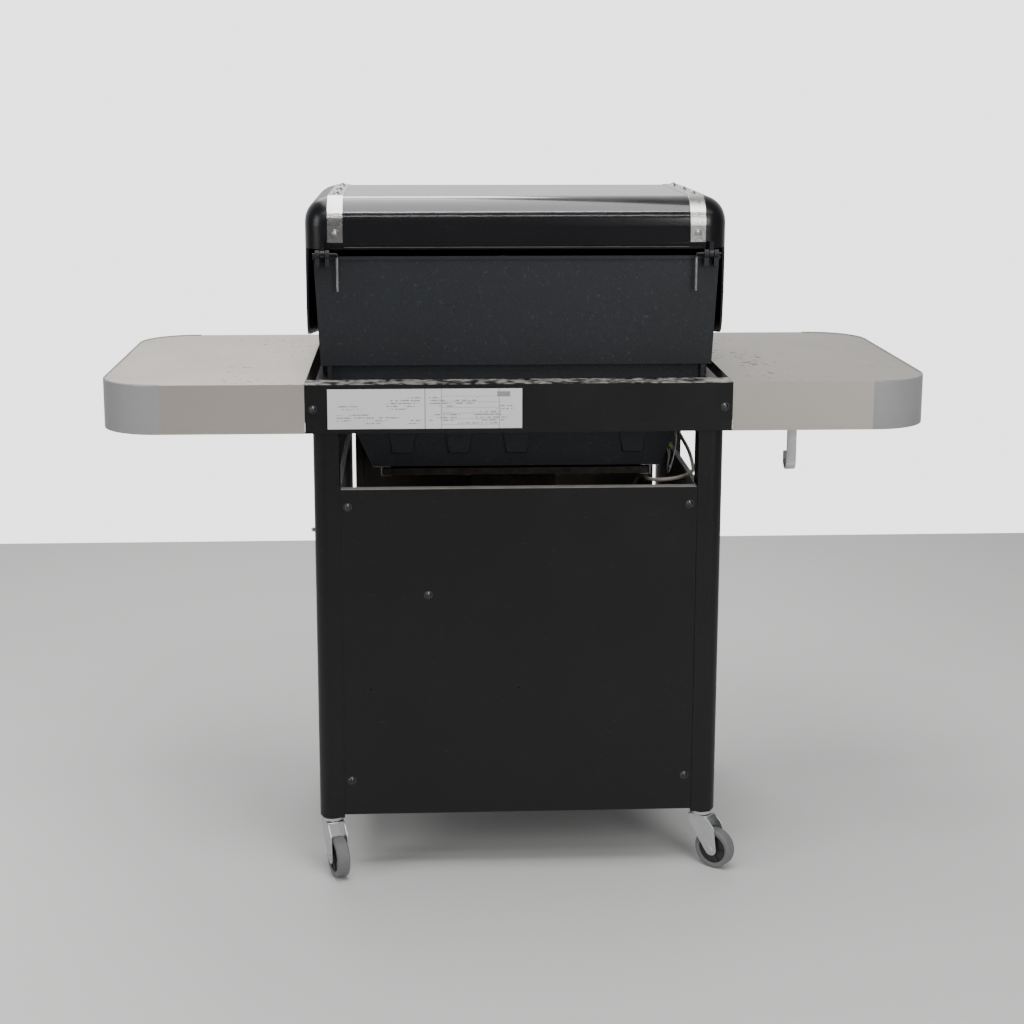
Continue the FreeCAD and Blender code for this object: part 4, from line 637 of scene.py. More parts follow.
def softened(points, radius, steps=4):
    """A profile or path with each inner corner replaced by a quadratic curve of that reach."""
    points = np.asarray(points, float)
    out = [points[:1]]
    s = np.linspace(0, 1, steps + 1)[:, None]
    for before, corner, after in zip(points, points[1:], points[2:]):
        arrive, leave = before - corner, after - corner
        reach = min(radius, 0.49 * np.linalg.norm(arrive), 0.49 * np.linalg.norm(leave))
        a = corner + arrive / np.linalg.norm(arrive) * reach
        b = corner + leave / np.linalg.norm(leave) * reach
        out.append((1 - s) ** 2 * a + 2 * s * (1 - s) * corner + s**2 * b)
    out.append(points[-1:])
    return np.vstack(out)


def carried(path, section, up=(0, 0, 1)):
    """A closed section of (across, out) carried along a path.

    At each path point the section lies across the path's own direction: across * side + out *
    normal, where the normal is what is left of up.
    """
    path = np.asarray(path, float)
    along = np.gradient(path, axis=0)
    along /= np.linalg.norm(along, axis=1)[:, None]
    side = np.cross(along, np.asarray(up, float))
    side /= np.linalg.norm(side, axis=1)[:, None]
    normal = np.cross(side, along)
    section = np.asarray(section, float)
    grid = (
        path[:, None]
        + section[None, :, :1] * side[:, None]
        + section[None, :, 1:] * normal[:, None]
    )
    return skin_grid(grid)


def ring_section(radius, count=12, flat=1.0):
    """Points of an ellipse: radius across, radius * flat out."""
    t = np.linspace(0, 2 * np.pi, count, endpoint=False)
    return np.stack([np.cos(t) * radius, np.sin(t) * radius * flat], 1)


print("a ring section has", len(ring_section(0.01)), "points")

# %% [markdown]
# Cheeks, levers and nuts are cut from plate. Real plate never has a perfectly sharp rim, and the
# thin bright line along a broken edge is what makes it look like metal.

# %% Shapes cut from plate
def sheet_cut(outline, low, high, place=(0, 0, 0), axes=((1, 0, 0), (0, 1, 0), (0, 0, 1)), edge=0.0004):
    """A flat outline given a thickness along the third axis, with its rims broken by edge.

    The four rows are the outline drawn in by edge, the outline, the outline, and drawn in again.
    """
    outline = np.asarray(outline, float)
    nxt, prv = np.roll(outline, -1, 0) - outline, outline - np.roll(outline, 1, 0)
    nxt /= np.linalg.norm(nxt, axis=1)[:, None]
    prv /= np.linalg.norm(prv, axis=1)[:, None]
    area = np.sum(outline[:, 0] * np.roll(outline[:, 1], -1) - outline[:, 1] * np.roll(outline[:, 0], -1))
    inward = np.stack([-(nxt + prv)[:, 1], (nxt + prv)[:, 0]], 1) * np.sign(area)
    inward /= np.linalg.norm(inward, axis=1)[:, None]
    inner = outline + inward * edge
    rows = ((inner, low), (outline, low + edge), (outline, high - edge), (inner, high))
    axes = np.asarray(axes, float)
    grid = np.stack([row @ axes[:2] + level * axes[2] for row, level in rows]) + np.asarray(place)
    return skin_grid(grid)


def block(low, high, edge=0.0006):
    """A box between two corners with its long edges broken."""
    (x0, y0, z0), (x1, y1, z1) = low, high
    return sheet_cut([(x0, y0), (x1, y0), (x1, y1), (x0, y1)], z0, z1, edge=edge)


print("a block has", len(block((0, 0, 0), (1, 1, 1))[1]), "faces")

# %% [markdown]
# A finished piece joins several surfaces into one mesh, says which body it rides on, and says which
# plain part of the design it replaces.

# %% Pieces that ride on the design
def moved(surface, turn=0.0, shift=(0, 0, 0), mirrored=False):
    """A surface turned about Z by an angle, shifted, and optionally mirrored in x first."""
    corners, faces = surface
    corners = corners * ((-1, 1, 1) if mirrored else (1, 1, 1))
    cos, sin = math.cos(turn), math.sin(turn)
    spin = np.array([(cos, sin, 0), (-sin, cos, 0), (0, 0, 1)])
    return outward(corners @ spin + np.asarray(shift), faces)


def piece(name, body, finish, *surfaces, stands_for=(), crease=32):
    """One mesh object from several surfaces, riding on a body; returns the object."""
    corners, faces, count = [], [], 0
    for points, polygons in surfaces:
        corners.append(points)
        faces += [tuple(i + count for i in polygon) for polygon in polygons]
        count += len(points)
    mesh = bpy.data.meshes.new(name)
    mesh.from_pydata(np.vstack(corners).tolist(), [], faces)
    mesh.shade_smooth()
    mesh.set_sharp_from_angle(angle=math.radians(crease))
    made = bpy.data.objects.new(name, mesh)
    bpy.context.scene.collection.objects.link(made)
    mesh.materials.append(finishes[finish])
    if stands_for:
        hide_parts(*stands_for)
    finish in slot_names
    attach(made, body)
    return made


slot_names = {entry["slot"] for entry in frame["record"]["materials"]}
print("record slots:", len(slot_names))

# %% [markdown]
# A hose and its wires are flexible, so they are smooth curves: a spline that passes near a short
# list of places, with a round section. The spline is a true curve, so it has no corners at all.
# The hose comes off the manifold, follows the side of the cabinet, and turns back under the tray.

# %% The hose and the igniter leads
def flexible(name, route, radius, finish, node):
    """A round tube along a NURBS spline whose control points are the route."""
    curve = bpy.data.curves.new(name, "CURVE")
    curve.dimensions = "3D"
    curve.bevel_depth = radius
    curve.bevel_resolution = 4
    curve.resolution_u = curve.render_resolution_u = 12
    curve.use_fill_caps = True
    spline = curve.splines.new("NURBS")
    spline.points.add(len(route) - 1)
    spline.points.foreach_set("co", np.array([(*point, 1.0) for point in route]).ravel())
    spline.use_endpoint_u = True
    spline.order_u = 3
    made = bpy.data.objects.new(name, curve)
    bpy.context.scene.collection.objects.link(made)
    curve.materials.append(finishes[finish])
    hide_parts(node)
    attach(made, "cart")
    return made


hose_route = [
    spot(-0.300, 0.565, 0.845), spot(-0.300, 0.541, 0.845), spot(-0.314, 0.512, 0.835),
    spot(-0.317, 0.466, 0.822), spot(-0.325, 0.408, 0.808), spot(-0.333, 0.350, 0.795),
    spot(-0.339, 0.292, 0.781), spot(-0.343, 0.232, 0.771), spot(-0.341, 0.180, 0.765),
    spot(-0.338, 0.138, 0.760), spot(-0.334, 0.101, 0.755), spot(-0.311, 0.078, 0.750),
    spot(-0.279, 0.078, 0.745), spot(-0.256, 0.101, 0.740), spot(-0.251, 0.138, 0.735),
    spot(-0.250, 0.186, 0.730), spot(-0.248, 0.236, 0.718), spot(-0.242, 0.282, 0.691),
    spot(-0.240, 0.300, 0.654), spot(-0.240, 0.300, 0.620),
]
hose = flexible("gas_hose_flexible", hose_route, 0.0035, "grey_hose", "gas_hose")

for i, (aside, low) in enumerate(((0, 0), (0.0035, 0.008))):
    back = 0.010 * i
    lead_route = [
        spot(-0.293 + 0.006 * i, 0.584, 0.877), spot(-0.293 + 0.006 * i, 0.564, 0.874 - low / 2),
        spot(-0.312 + 0.004 * i, 0.544, 0.867 - low),
        spot(-0.323 + aside, 0.506 - back / 2, 0.859 - low),
        spot(-0.322 + aside, 0.452 - back, 0.852 - low), spot(-0.324 + aside, 0.396 - back, 0.835 - low),
        spot(-0.328 + aside, 0.340 - back, 0.815 - low), spot(-0.327 + aside, 0.284 - back, 0.794 - low),
        spot(-0.318 + aside, 0.236 - back, 0.772 - low), spot(-0.307 + aside, 0.204 - back, 0.750 - low),
        spot(-0.298 + aside, 0.180 - back, 0.743 - low), spot(-0.294 + aside, 0.162 - back, 0.762 - low),
        spot(-0.298 + aside, 0.158 - back, 0.790 - low), spot(-0.287 + aside, 0.174 - back, 0.814 - low),
    ]
    lead = flexible(f"igniter_lead_{i + 1}", lead_route, 0.0014, "white_wire", "ignition_wires")
print("hose control points:", len(hose_route))

# %% [markdown]
# Screws are turned parts, so each is one profile spun round its own axis. The cart's screws have a
# flanged pan head with a cross recess; the lid's have a hexagon under a dome. The recess is painted
# shade: two thin black blocks set just into the head, which is enough at the size a screw is seen.

# %% Screws
def hexagon(across):
    """Six corners of a hexagon given its width across the flats."""
    t = np.arange(6) * np.pi / 3
    return np.stack([np.cos(t), np.sin(t)], 1) * across / math.sqrt(3)


def pan_screw(place, axis, size=1.0):
    """A washer, then a dome whose height falls as the square of the radius, 6 mm by 4 mm."""
    r = np.linspace(1, 0.12, 7)
    dome = [(0.0061 * s * size, 0.001 + 0.0038 * (1 - s**2.2) * size) for s in r]
    washer = [(0.0002, 0), (0.0078 * size, 0), (0.0082 * size, 0.0003), (0.0080 * size, 0.0010)]
    return turned(washer + dome, place, axis, 32)


def cross_recess(place, axis, size=1.0):
    """Two crossed bars across a screw's crown."""
    u, v, w = frame_about(axis)
    bars = []
    for first, second in ((u, v), (v, u)):
        half = np.array([(-0.0029, -0.0005), (0.0029, -0.0005), (0.0029, 0.0005), (-0.0029, 0.0005)])
        bars.append(
            sheet_cut(
                half * size, 0.0038 * size, 0.0049 * size, place, (first, second, w), 0.0001
            )
        )
    return bars


def hex_screw(place, axis):
    """A washer, a hexagon 9 mm across its flats, and a dome on top."""
    u, v, w = frame_about(axis)
    washer = turned([(0.0002, 0), (0.0070, 0), (0.0072, 0.0006), (0.0066, 0.0013)], place, axis, 32)
    head = sheet_cut(hexagon(0.0095), 0.001, 0.0034, place, (u, v, w), 0.0004)
    crown = [(0.0043, 0.003), (0.0040, 0.0042), (0.0028, 0.0052), (0.0010, 0.0058)]
    dome = turned(crown, place, axis, 24)
    return [washer, head, dome]


print("a hexagon's corners:", len(hexagon(0.01)))

# %% [markdown]
# The screws' places come from the parts that they hold: the beam's and the panel's own boxes give
# the height and the depth, and an inset from the edge gives the rest.

# %% Screws in place
beam_low, beam_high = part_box("rear_beam")
panel_low, panel_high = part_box("rear_panel")
SCREW_INSET = 0.014
LEG_INNER_X = 0.328
beam_z = (beam_low.z + beam_high.z) / 2
places = [(sign * (beam_high.x - SCREW_INSET), beam_high.y, beam_z) for sign in (-1, 1)]
for sign in (-1, 1):
    for z in (panel_high.z - 0.033, panel_low.z + 0.048):
        places.append((sign * (LEG_INNER_X - SCREW_INSET), panel_high.y, z))
places.append((LEG_INNER_X - 0.160, panel_high.y, panel_high.z - 0.201))
heads = [pan_screw(place, (0, 1, 0)) for place in places]
# The cross recesses are black blocks on each crown: painted shade.
recess_shades = [bar for place in places for bar in cross_recess(place, (0, 1, 0))]
piece("frame_screw_heads", "cart", "dark_screw", *heads, stands_for=["frame_screws"])
piece("frame_screw_recess_shade", "cart", "print_black", *recess_shades)
print("cart screws:", len(heads))

strap_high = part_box("lid_straps")[1]
strap_x = strap_high.x - SCREW_INSET
lid_places = []
for sign in (-1, 1):
    for depth in (0.184, 0.306, 0.446):
        lid_places.append((spot(sign * strap_x, depth, strap_high.z), (0, 0, 1)))
    lid_places.append((spot(sign * strap_x, 0.0985, 1.205), (0, 1, 0)))
lid_heads = [part for place, axis in lid_places for part in hex_screw(place, axis)]
piece("lid_screw_heads", "lid", "screw_steel", *lid_heads, stands_for=["lid_screws"])
print("lid screws:", len(lid_places))

# %% [markdown]
# Small parts need rounded outlines. One function rounds the corners of a closed outline, and one
# makes a nut. After that each part is a handful of profiles given in metres from its own axis.

# %% Outlines and nuts
def rounded(outline, radius, steps=4):
    """A closed outline with every corner replaced by a quadratic curve of that reach."""
    outline = [tuple(point) for point in outline]
    return softened([outline[-1], *outline, outline[0]], radius, steps)[1:-1]


def nut(place, axis, across, thick):
    """A hexagonal nut standing on a place."""
    u, v, w = frame_about(axis)
    return sheet_cut(hexagon(across), 0, thick, place, (u, v, w), 0.0005)


def rounded_bar(length, radius, place, axis, segments=32):
    """A round bar centred on a place, its ends eased by a tenth of the radius each step."""
    ends = [(0.04, 0.0), (0.72, 0.02), (0.90, 0.12), (0.98, 0.3), (1.0, 0.55)]
    half = length / 2
    low = [(radius * r, -half + radius * a) for r, a in ends]
    high = [(radius * r, half - radius * a) for r, a in reversed(ends)]
    return turned(low + high, place, axis, segments)


print("a nut has", len(nut((0, 0, 0), (0, 0, 1), 0.01, 0.003)[1]), "faces")

# %% [markdown]
# Each caster is a fork that swivels under a raised race, a wheel on an axle between its cheeks, and
# on the front pair a brake lever. They are made once, with the wheel trailing towards +Y, then
# turned by the angle each fork stands at and moved below its leg. The hub has six ribs on each
# face, like a moulded wheel.

# %% Wheels
TRAIL, AXLE_Z = 0.032, 0.038
hub_centre = (0, TRAIL, AXLE_Z)
tread_side = [(0.0275, 0.0108), (0.0300, 0.0122), (0.0335, 0.0125), (0.0362, 0.0115)]
tread_side += [(0.0377, 0.0092)]
tread_profile = [(r, -x) for r, x in tread_side] + [(r, x) for r, x in reversed(tread_side)]
hub_side = [(0.0042, 0.0133), (0.0082, 0.0133), (0.0090, 0.0124), (0.0098, 0.0090), (0.0262, 0.0088)]
hub_side += [(0.0272, 0.0104), (0.0279, 0.0109)]
hub_profile = [(r, -x) for r, x in hub_side] + [(r, x) for r, x in reversed(hub_side)]
tread = turned(tread_profile, hub_centre, (1, 0, 0), 64, loop=True)
hub_parts = [turned(hub_profile, hub_centre, (1, 0, 0), 48, loop=True)]
for k in range(6):
    angle = k * math.pi / 3
    out = (0, math.cos(angle), math.sin(angle))
    across = (0, -math.sin(angle), math.cos(angle))
    for low, high in ((0.0085, 0.0112), (-0.0112, -0.0085)):
        rib = [(0.0088, -0.0009), (0.0268, -0.0007), (0.0268, 0.0007), (0.0088, 0.0009)]
        hub_parts.append(sheet_cut(rib, low, high, hub_centre, (out, across, (1, 0, 0)), 0.0002))

print("hub surfaces:", len(hub_parts))

# %% [markdown]
# The fork is folded from one strip: two cheeks joined by a flat crown, with the swivel race and its
# stem above. On the front pair a ribbed lever presses on the tread to hold the wheel.

# %% Forks and brake levers
cheek_outline = rounded(
    [(-0.018, 0.101), (-0.016, 0.084), (0.020, 0.034), (0.026, 0.027), (0.038, 0.027),
     (0.044, 0.035), (0.038, 0.082), (0.020, 0.101)], 0.005,
)
upright_axes = ((0, 1, 0), (0, 0, 1), (1, 0, 0))
fork_parts = [
    sheet_cut(cheek_outline, low, high, (0, 0, 0), upright_axes, 0.0006)
    for low, high in ((0.0145, 0.0170), (-0.0170, -0.0145))
]
stem_profile = [(0.0004, 0.1395), (0.0046, 0.1395), (0.0055, 0.1385), (0.0055, 0.110)]
fork_parts.append(turned(stem_profile, (0, 0, 0), (0, 0, 1), 24))
cup = [(0.0004, 0.1125), (0.0120, 0.1124), (0.0185, 0.1116), (0.0213, 0.1094), (0.0218, 0.1062)]
cup += [(0.0208, 0.1036), (0.0180, 0.1022), (0.0004, 0.1018)]
fork_parts.append(turned(cup, (0, 0, 0), (0, 0, 1), 48))
crown = rounded([(-0.017, -0.019), (0.017, -0.019), (0.017, 0.0215), (-0.017, 0.0215)], 0.0035)
fork_parts.append(sheet_cut(crown, 0.0992, 0.1022, edge=0.0008))
fork_parts.append(rounded_bar(0.040, 0.0038, hub_centre, (1, 0, 0), 20))
fork_parts += [nut((x, TRAIL, AXLE_Z), (x, 0, 0), 0.0115, 0.0024) for x in (0.0168, -0.0168)]

lever_outline = rounded(
    [(0.018, 0.085), (0.034, 0.085), (0.0765, 0.089), (0.0765, 0.0925), (0.032, 0.0915),
     (0.018, 0.0912)], 0.0014,
)
lever_parts = [
    sheet_cut(lever_outline, -0.0125, 0.0125, (0, 0, 0), upright_axes, 0.001),
    rounded_bar(0.034, 0.0025, (0, 0.024, 0.088), (1, 0, 0), 16),
]
for k in range(4):
    y = 0.058 + 0.0048 * k
    z = 0.0915 + 0.001 * (y - 0.032) / 0.0445
    lever_parts.append(block((-0.010, y, z - 0.001), (0.010, y + 0.002, z + 0.0012), 0.0004))

print("fork surfaces:", len(fork_parts), "lever surfaces:", len(lever_parts))

# %% [markdown]
# Each fork stands below its leg at its own angle, as casters do after the cart has been pushed.

# %% Casters in place
LEG_X, REAR_LEG_Y, FRONT_LEG_Y = 0.35175, 0.2850, -0.2655
stands = {
    "rear_left": (-LEG_X, REAR_LEG_Y, 51), "rear_right": (LEG_X, REAR_LEG_Y, 20),
    "front_left": (-LEG_X, FRONT_LEG_Y, 205), "front_right": (LEG_X, FRONT_LEG_Y, 165),
}
for name, (x, y, degrees) in stands.items():
    def stood(parts):
        return [moved(part, math.radians(degrees), (x, y, 0)) for part in parts]

    fork_node, wheel_node = f"caster_fork_{name}", f"caster_wheel_{name}"
    piece(f"fork_{name}", f"caster_{name}", "zinc", *stood(fork_parts), stands_for=[fork_node])
    piece(f"tread_{name}", f"wheel_{name}", "tread_grey", *stood([tread]), stands_for=[wheel_node])
    piece(f"hub_{name}", f"wheel_{name}", "hub_black", *stood(hub_parts), stands_for=[wheel_node])
    if name.startswith("front"):
        piece(
            f"lever_{name}", f"brake_{name}", "lever_grey", *stood(lever_parts),
            stands_for=[f"brake_lever_{name}"],
        )
print("casters:", len(stands))

# %% [markdown]
# The controls on the front: three knobs that push in and turn, with a straight grip and a pale
# pointer line, and the igniter button in its socket. All of them are turned about an axis that
# points out of the panel, towards -Y.

# %% Knobs and igniter
OUT = (0, -1, 0)
front_axes = ((1, 0, 0), (0, 0, 1), (0, -1, 0))
knob_profile = [
    (0.0034, 0.0), (0.0250, 0.0), (0.0260, 0.0010), (0.0257, 0.0034), (0.0228, 0.0048),
    (0.0206, 0.0062), (0.0200, 0.0086), (0.0197, 0.0112), (0.0180, 0.0122), (0.0004, 0.0124),
]
grip_outline = rounded([(-0.006, -0.023), (0.006, -0.023), (0.006, 0.023), (-0.006, 0.023)], 0.0055)
CONTROL_Z, KNOB_PITCH = 0.880, 0.200
for side, sign in (("left", -1), ("centre", 0), ("right", 1)):
    face = spot(sign * KNOB_PITCH, 0.634, CONTROL_Z)
    parts = [
        turned(knob_profile, face, OUT, 64),
        sheet_cut(grip_outline, 0.0025, 0.026, face, front_axes, 0.0016),
        turned([(0.0030, -0.040), (0.0030, 0.004)], face, OUT, 24),
    ]
    piece(f"knob_cap_{side}", f"knob_{side}", "knob_plastic", *parts, stands_for=[f"knob_{side}"])
    line = [(-0.0007, 0.004), (0.0007, 0.004), (0.0007, 0.0195), (-0.0007, 0.0195)]
    pointer = sheet_cut(line, 0.0257, 0.0262, face, front_axes, 0.0001)
    piece(f"knob_pointer_{side}", f"knob_{side}", "dial_white", pointer)

socket = spot(-0.290, 0.584, CONTROL_Z)
socket_profile = [
    (0.0004, 0.0220), (0.00805, 0.0220), (0.00805, 0.0484), (0.0090, 0.0490), (0.0126, 0.0490),
    (0.0140, 0.0478), (0.0140, 0.0462), (0.0109, 0.0460), (0.0108, 0.0006), (0.0100, 0.0),
    (0.0004, 0.0),
]
button_profile = [(0.0004, 0.028), (0.0080, 0.028), (0.0080, 0.0522), (0.0070, 0.0537), (0.0004, 0.0541)]
piece(
    "igniter_socket", "cart", "knob_plastic", turned(socket_profile, socket, OUT, 48),
    stands_for=["igniter_module"],
)
piece(
    "igniter_cap", "igniter_button", "lever_grey", turned(button_profile, socket, OUT, 40),
    stands_for=["igniter_button"],
)
print("knobs: 3, igniter: 1")

# %% [markdown]
# Handles are round bars on posts. Each post flares into a small foot where it meets the sheet, and
# each bar has eased ends, so the highlight runs off them softly.

# %% Handles
def post(place, radius, reach):
    """A post along -Y with a flared foot."""
    foot = [(radius * 1.45, 0.0), (radius * 1.45, 0.0018), (radius * 1.2, 0.0032), (radius, 0.0062)]
    return turned([(0.0004, 0.0), *foot, (radius, reach), (0.0004, reach)], place, OUT, 32)


LID_BAR_Z = 1.013
lid_bar = [rounded_bar(0.600, 0.0125, spot(0, 0.655, LID_BAR_Z), (1, 0, 0), 40)]
lid_bar += [post(spot(x, 0.610, LID_BAR_Z), 0.009, 0.045) for x in (-0.280, 0.280)]
piece("lid_handle_bar", "lid", "stainless", *lid_bar, stands_for=["lid_handle"])
for side, sign in (("left", -1), ("right", 1)):
    x = sign * 0.025
    parts = [rounded_bar(0.160, 0.006, spot(x, 0.636, 0.5795), (0, 0, 1))]
    parts += [post(spot(x, 0.604, z), 0.005, 0.032) for z in (0.5155, 0.6435)]
    piece(
        f"door_bar_{side}", f"door_{side}", "stainless", *parts, stands_for=[f"door_handle_{side}"]
    )
print("handles: 3")

# %% [markdown]
# The thermometer is a dish with a rolled rim. Seven marks carry plain digits, each built from the
# seven bars of a calculator display, which keeps the numerals as simple as the rest of the model.

# %% Thermometer
gauge = spot(0, 0.610, 1.090)
dish_profile = [
    (0.0004, 0.0030), (0.0286, 0.0030), (0.0290, 0.0040), (0.0290, 0.0104), (0.0296, 0.0117),
    (0.0308, 0.0120), (0.0318, 0.0112), (0.0320, 0.0096), (0.0320, 0.0), (0.0004, 0.0),
]
dish = [
    turned(dish_profile, gauge, OUT, 72),
    turned([(0.0004, -0.045), (0.0034, -0.045), (0.0040, -0.043), (0.0040, 0.001)], gauge, OUT, 24),
    turned([(0.0015, 0.002), (0.0015, 0.0068), (0.0004, 0.0072)], gauge, OUT, 20),
]
piece("gauge_dish", "lid", "dial_face", *dish, stands_for=["thermometer"])
paper_profile = [(0.0016, 0.0029), (0.0284, 0.0029), (0.0284, 0.0033), (0.0016, 0.0033)]
paper = turned(paper_profile, gauge, OUT, 64, loop=True)
piece("gauge_paper", "lid", "dial_white", paper)

print("dish surfaces:", len(dish))

# %% [markdown]
# The dial has 37 marks over 270 degrees, and every sixth one is longer and has a digit.

# %% Dial marks and needle
DIGITS = {1: "bc", 2: "abged", 3: "abgcd", 4: "fgbc", 5: "afgcd", 6: "afgecd", 7: "abc"}
BARS = {
    "a": (0, 1, 1, 0), "g": (0, 0, 1, 0), "d": (0, -1, 1, 0),
    "f": (-1, 0.5, 0, 1), "b": (1, 0.5, 0, 1), "e": (-1, -0.5, 0, 1), "c": (1, -0.5, 0, 1),
}


def dial_mark(x, z, wide, tall, turn=0.0):
    """A thin printed bar on the dial, about a point given from the dial's centre."""
    cos, sin = math.cos(turn), math.sin(turn)
    corners = np.array([(-wide, -tall), (wide, -tall), (wide, tall), (-wide, tall)]) / 2
    corners = corners @ np.array([(cos, sin), (-sin, cos)]) + (x, z)
    return sheet_cut(corners, 0.0032, 0.0035, gauge, front_axes, 0.00004)


marks = []
for k in range(37):
    angle = math.radians(225 - 7.5 * k)
    major = k % 6 == 0
    reach = 0.0248 if major else 0.0258
    marks.append(
        dial_mark(
            math.cos(angle) * reach, math.sin(angle) * reach, 0.0042 if major else 0.0022,
            0.0008 if major else 0.0004, angle,
        )
    )
    if major:
        digit = 1 + k // 6
        for bar in DIGITS[digit]:
            dx, dz, lying, standing = BARS[bar]
            marks.append(
                dial_mark(
                    math.cos(angle) * 0.0192 + dx * 0.0011, math.sin(angle) * 0.0192 + dz * 0.0019,
                    0.0022 * lying + 0.00045, 0.0019 * standing + 0.00045,
                )
            )
piece("gauge_marks", "lid", "print_black", *marks)

tip = np.array([-0.019, -0.019]) / math.hypot(0.019, 0.019)
side_way = np.array([-tip[1], tip[0]])
blade = [
    tip * 0.0030 - side_way * 0.0015, tip * 0.0255 - side_way * 0.0003,
    tip * 0.0255 + side_way * 0.0003, tip * 0.0030 + side_way * 0.0015,
]
hand = [
    sheet_cut(blade, 0.0041, 0.0050, gauge, front_axes, 0.0001),
    turned([(0.00158, 0.0040), (0.0038, 0.0040), (0.0038, 0.0056), (0.0030, 0.0060), (0.00158, 0.0060)],
           gauge, OUT, 32, loop=True),
]
piece("gauge_hand", "needle", "needle_red", *hand, stands_for=["thermometer_needle"])
print("dial marks:", len(marks))

# %% [markdown]
# The rods and hooks: the lid turns on two pins whose tails hang down behind the firebox, a flat
# strip is bent into a tool hook below the left table, and a peg on the right carries a small match
# holder that swings on it.

# %% Pins and hooks
def in_metres(points):
    """A path from (x, depth, z) in millimetres."""
    return [spot(x / 1000, depth / 1000, z / 1000) for x, depth, z in points]


rod = ring_section(0.0024, 16)
bars, tails = [], []
for sign in (-1, 1):
    x = sign * 329
    bar = softened(in_metres([(sign * 374, 86, 1168), (x, 86, 1168), (x, 86, 1162)]), 0.006, 6)
    tail = in_metres([(x, 86, 1163), (x, 86, 1130), (x, 86, 1100)])
    bars.append(carried(bar, rod, (0, 1, 0)))
    tails.append(carried(tail, rod, (0, 1, 0)))
# The pins' horizontal bars are coloured black as painted shade; the tails keep bright steel.
piece("hinge_bars_painted_shade", "cart", "cap_black", *bars, stands_for=["hinge_pins"])
piece("hinge_tails", "cart", "screw_steel", *tails, stands_for=["hinge_pins"])

HOOK_X = -511
t = np.linspace(math.pi, 2 * math.pi, 17)
bend = [(HOOK_X, 78 + 16 * math.cos(a), 781.5 + 16 * math.sin(a)) for a in t]
stem = [(HOOK_X, 84, 939.8), (HOOK_X, 62, 939.8), (HOOK_X, 62, 850)]
strip = in_metres([*stem, *bend, (HOOK_X, 94, 795.5)])
strip_section = rounded([(-0.002, -0.009), (0.002, -0.009), (0.002, 0.009), (-0.002, 0.009)], 0.0008, 2)
hook = carried(softened(strip, 0.0032, 4), strip_section, (1, 0, 0))
piece("tool_hook_strip", "cart", "zinc", hook, stands_for=["tool_hook"])

print("hook points:", len(strip))

# %% [markdown]
# Three small things: grey lines along the folded edges of the lid's hem that paint their highlights,
# black lines round the firebox's pads that paint the shade at their edges, and the sleeve where the
# igniter leads go in.

# %% Hem highlights, pad shade and sleeve
# Two thin grey wires along the hem's folds: painted highlights.
hem_highlights = [
    carried(in_metres([(-317, 98.3, z), (0, 98.3, z), (317, 98.3, z)]), ring_section(0.0006, 8))
    for z in (1186.0, 1179.5)
]
piece("lid_hem_painted_highlights", "lid", "edge_grey", *hem_highlights)
# Black tubes round each raised pad: painted shade along the pad's edges.
shade_lines = []
for share in (-0.81, 0, 0.40, 0.79):
    x = 271 * share
    line = [(x - 25.8, 113.6, 833), (x - 18.6, 115.4, 792.2)]
    line += [(x + 18.6, 115.4, 792.2), (x + 25.8, 113.6, 833)]
    shade_lines.append(carried(softened(in_metres(line), 0.003, 3), ring_section(0.0014, 8), (0, 1, 0)))
piece("pad_edge_painted_shade", "cart", "print_black", *shade_lines)
sleeve_path = in_metres([(-298, 158, 788), (-293.5, 164, 800), (-288.5, 172, 811)])
sleeve = carried(sleeve_path, rod, (0, 1, 0))
piece("igniter_sleeve", "cart", "green_sleeve", sleeve)

print("pad grooves:", len(shade_lines))

# %% [markdown]
# The match holder is a wire with a ring at each end. Its upper ring hangs on the peg's neck, behind
# the ball that keeps it on.

# %% Match peg and holder
peg_place = (0.3755, FRONT_LEG_Y, 0.528)
s = np.linspace(0.65, math.pi - 0.05, 10)
ball = [(0.005 * math.sin(a), 0.037 - 0.005 * math.cos(a)) for a in s]
peg = [(0.0004, 0.0), (0.0090, 0.0), (0.0090, 0.0020), (0.0080, 0.0030), (0.0034, 0.0034)]
peg += [(0.0030, 0.0044)]
piece(
    "match_peg", "cart", "zinc", turned(peg + ball, peg_place, (1, 0, 0), 32), stands_for=["match_hook"]
)
RING_X = 0.4005


def wire_ring(radius, thick, z):
    """A ring of wire about a line along X through a height."""
    u = np.linspace(0, 2 * np.pi, 12, endpoint=False)
    profile = np.stack([radius + thick * np.cos(u), thick * np.sin(u)], 1)
    return turned(profile, (RING_X, FRONT_LEG_Y, z), (1, 0, 0), 40, loop=True)


holder = [
    wire_ring(0.009, 0.0012, 0.5235),
    turned([(0.0009, 0.4850), (0.0009, 0.5148)], (RING_X, FRONT_LEG_Y, 0), (0, 0, 1), 12),
    wire_ring(0.005, 0.0012, 0.4805),
]
piece("match_wire", "match_holder", "zinc", *holder, stands_for=["match_holder"])
print("holder surfaces:", len(holder))

# %% [markdown]
# The regulator sits inside the cabinet: a shallow two-part dish with a rolled seam, the neck that
# takes the hose, and the inlet nut. The hose ends in a brass nut at either end.

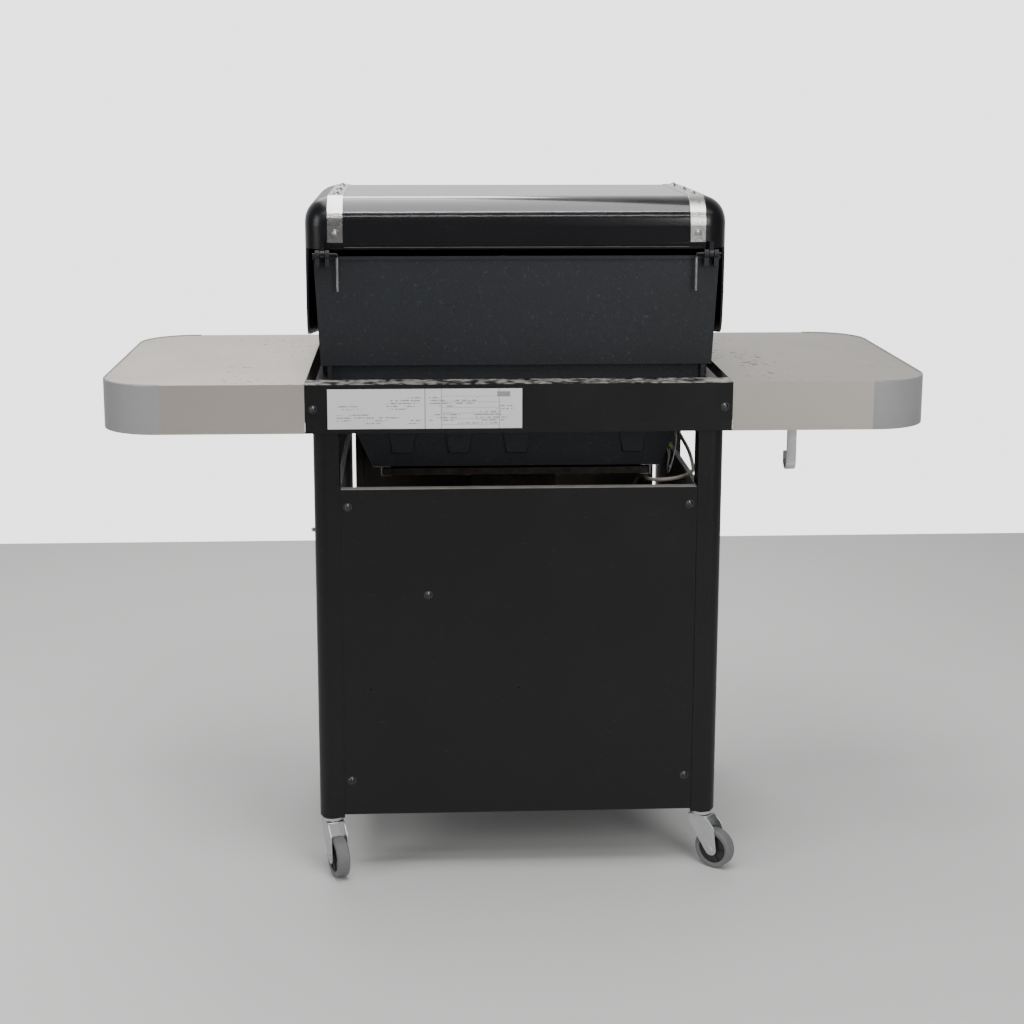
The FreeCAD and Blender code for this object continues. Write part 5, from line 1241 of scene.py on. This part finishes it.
# %% Regulator
seat = (-0.240, 0.01475, 0.572)
dish_out = [(0.0004, 0.0), (0.0220, 0.0), (0.0262, 0.0016), (0.0290, 0.0060), (0.0296, 0.0110)]
seam_roll = [(0.0318, 0.0116), (0.0320, 0.0150), (0.0312, 0.0162)]
lid_dish = [(0.0286, 0.0170), (0.0262, 0.0222), (0.0200, 0.0256), (0.0100, 0.0262), (0.0090, 0.0280)]
neck = [(0.0090, 0.0470), (0.0080, 0.0480)]
regulator = [turned(dish_out + seam_roll + lid_dish + neck, seat, (0, 0, 1), 56)]
inlet = (-0.240, -0.04725, 0.585)
regulator += [
    turned([(0.0100, 0.0), (0.0148, 0.0), (0.0150, 0.0006), (0.0150, 0.0130), (0.0100, 0.0132)],
           inlet, (0, 1, 0), 40, loop=True),
    turned([(0.0004, 0.0131), (0.0150, 0.0131), (0.0150, 0.0380), (0.0110, 0.0420), (0.0004, 0.0420)],
           inlet, (0, 1, 0), 40),
    block((-0.3265, 0.00275, 0.582), (-0.262, 0.02675, 0.586)),
    sheet_cut(
        rounded([(-0.01025, 0.560), (0.03975, 0.560), (0.03975, 0.605), (-0.01025, 0.605)], 0.004),
        -0.3265, -0.3235, (0, 0, 0), upright_axes, 0.0005,
    ),
]
piece("regulator_body", "cart", "regulator_grey", *regulator, stands_for=["regulator"])
ferrule_profile = [(0.0004, 0.0), (0.0052, 0.0), (0.0052, 0.0120), (0.0044, 0.0132), (0.0004, 0.0132)]
ferrules = []
for place, axis in ((hose_route[0], (0, 1, 0)), (hose_route[-1], (0, 0, 1))):
    ferrules += [nut(place, axis, 0.0150, 0.0080), turned(ferrule_profile, place, axis, 28)]
piece("hose_nuts", "cart", "brass", *ferrules)
print("regulator surfaces:", len(regulator))

# %% The floor and the end
stage_mesh = bpy.data.meshes.new("floor")
stage_mesh.from_pydata([(-9, -2.2, 0), (9, -2.2, 0), (9, 9, 0), (-9, 9, 0)], [], [(0, 1, 2, 3)])
floor = bpy.data.objects.new("floor", stage_mesh)
bpy.context.scene.collection.objects.link(floor)
floor_graph = Graph("floor")
stage_mesh.materials.append(floor_graph.finish(tone(0.7, 0.69, 0.68), 0.6))
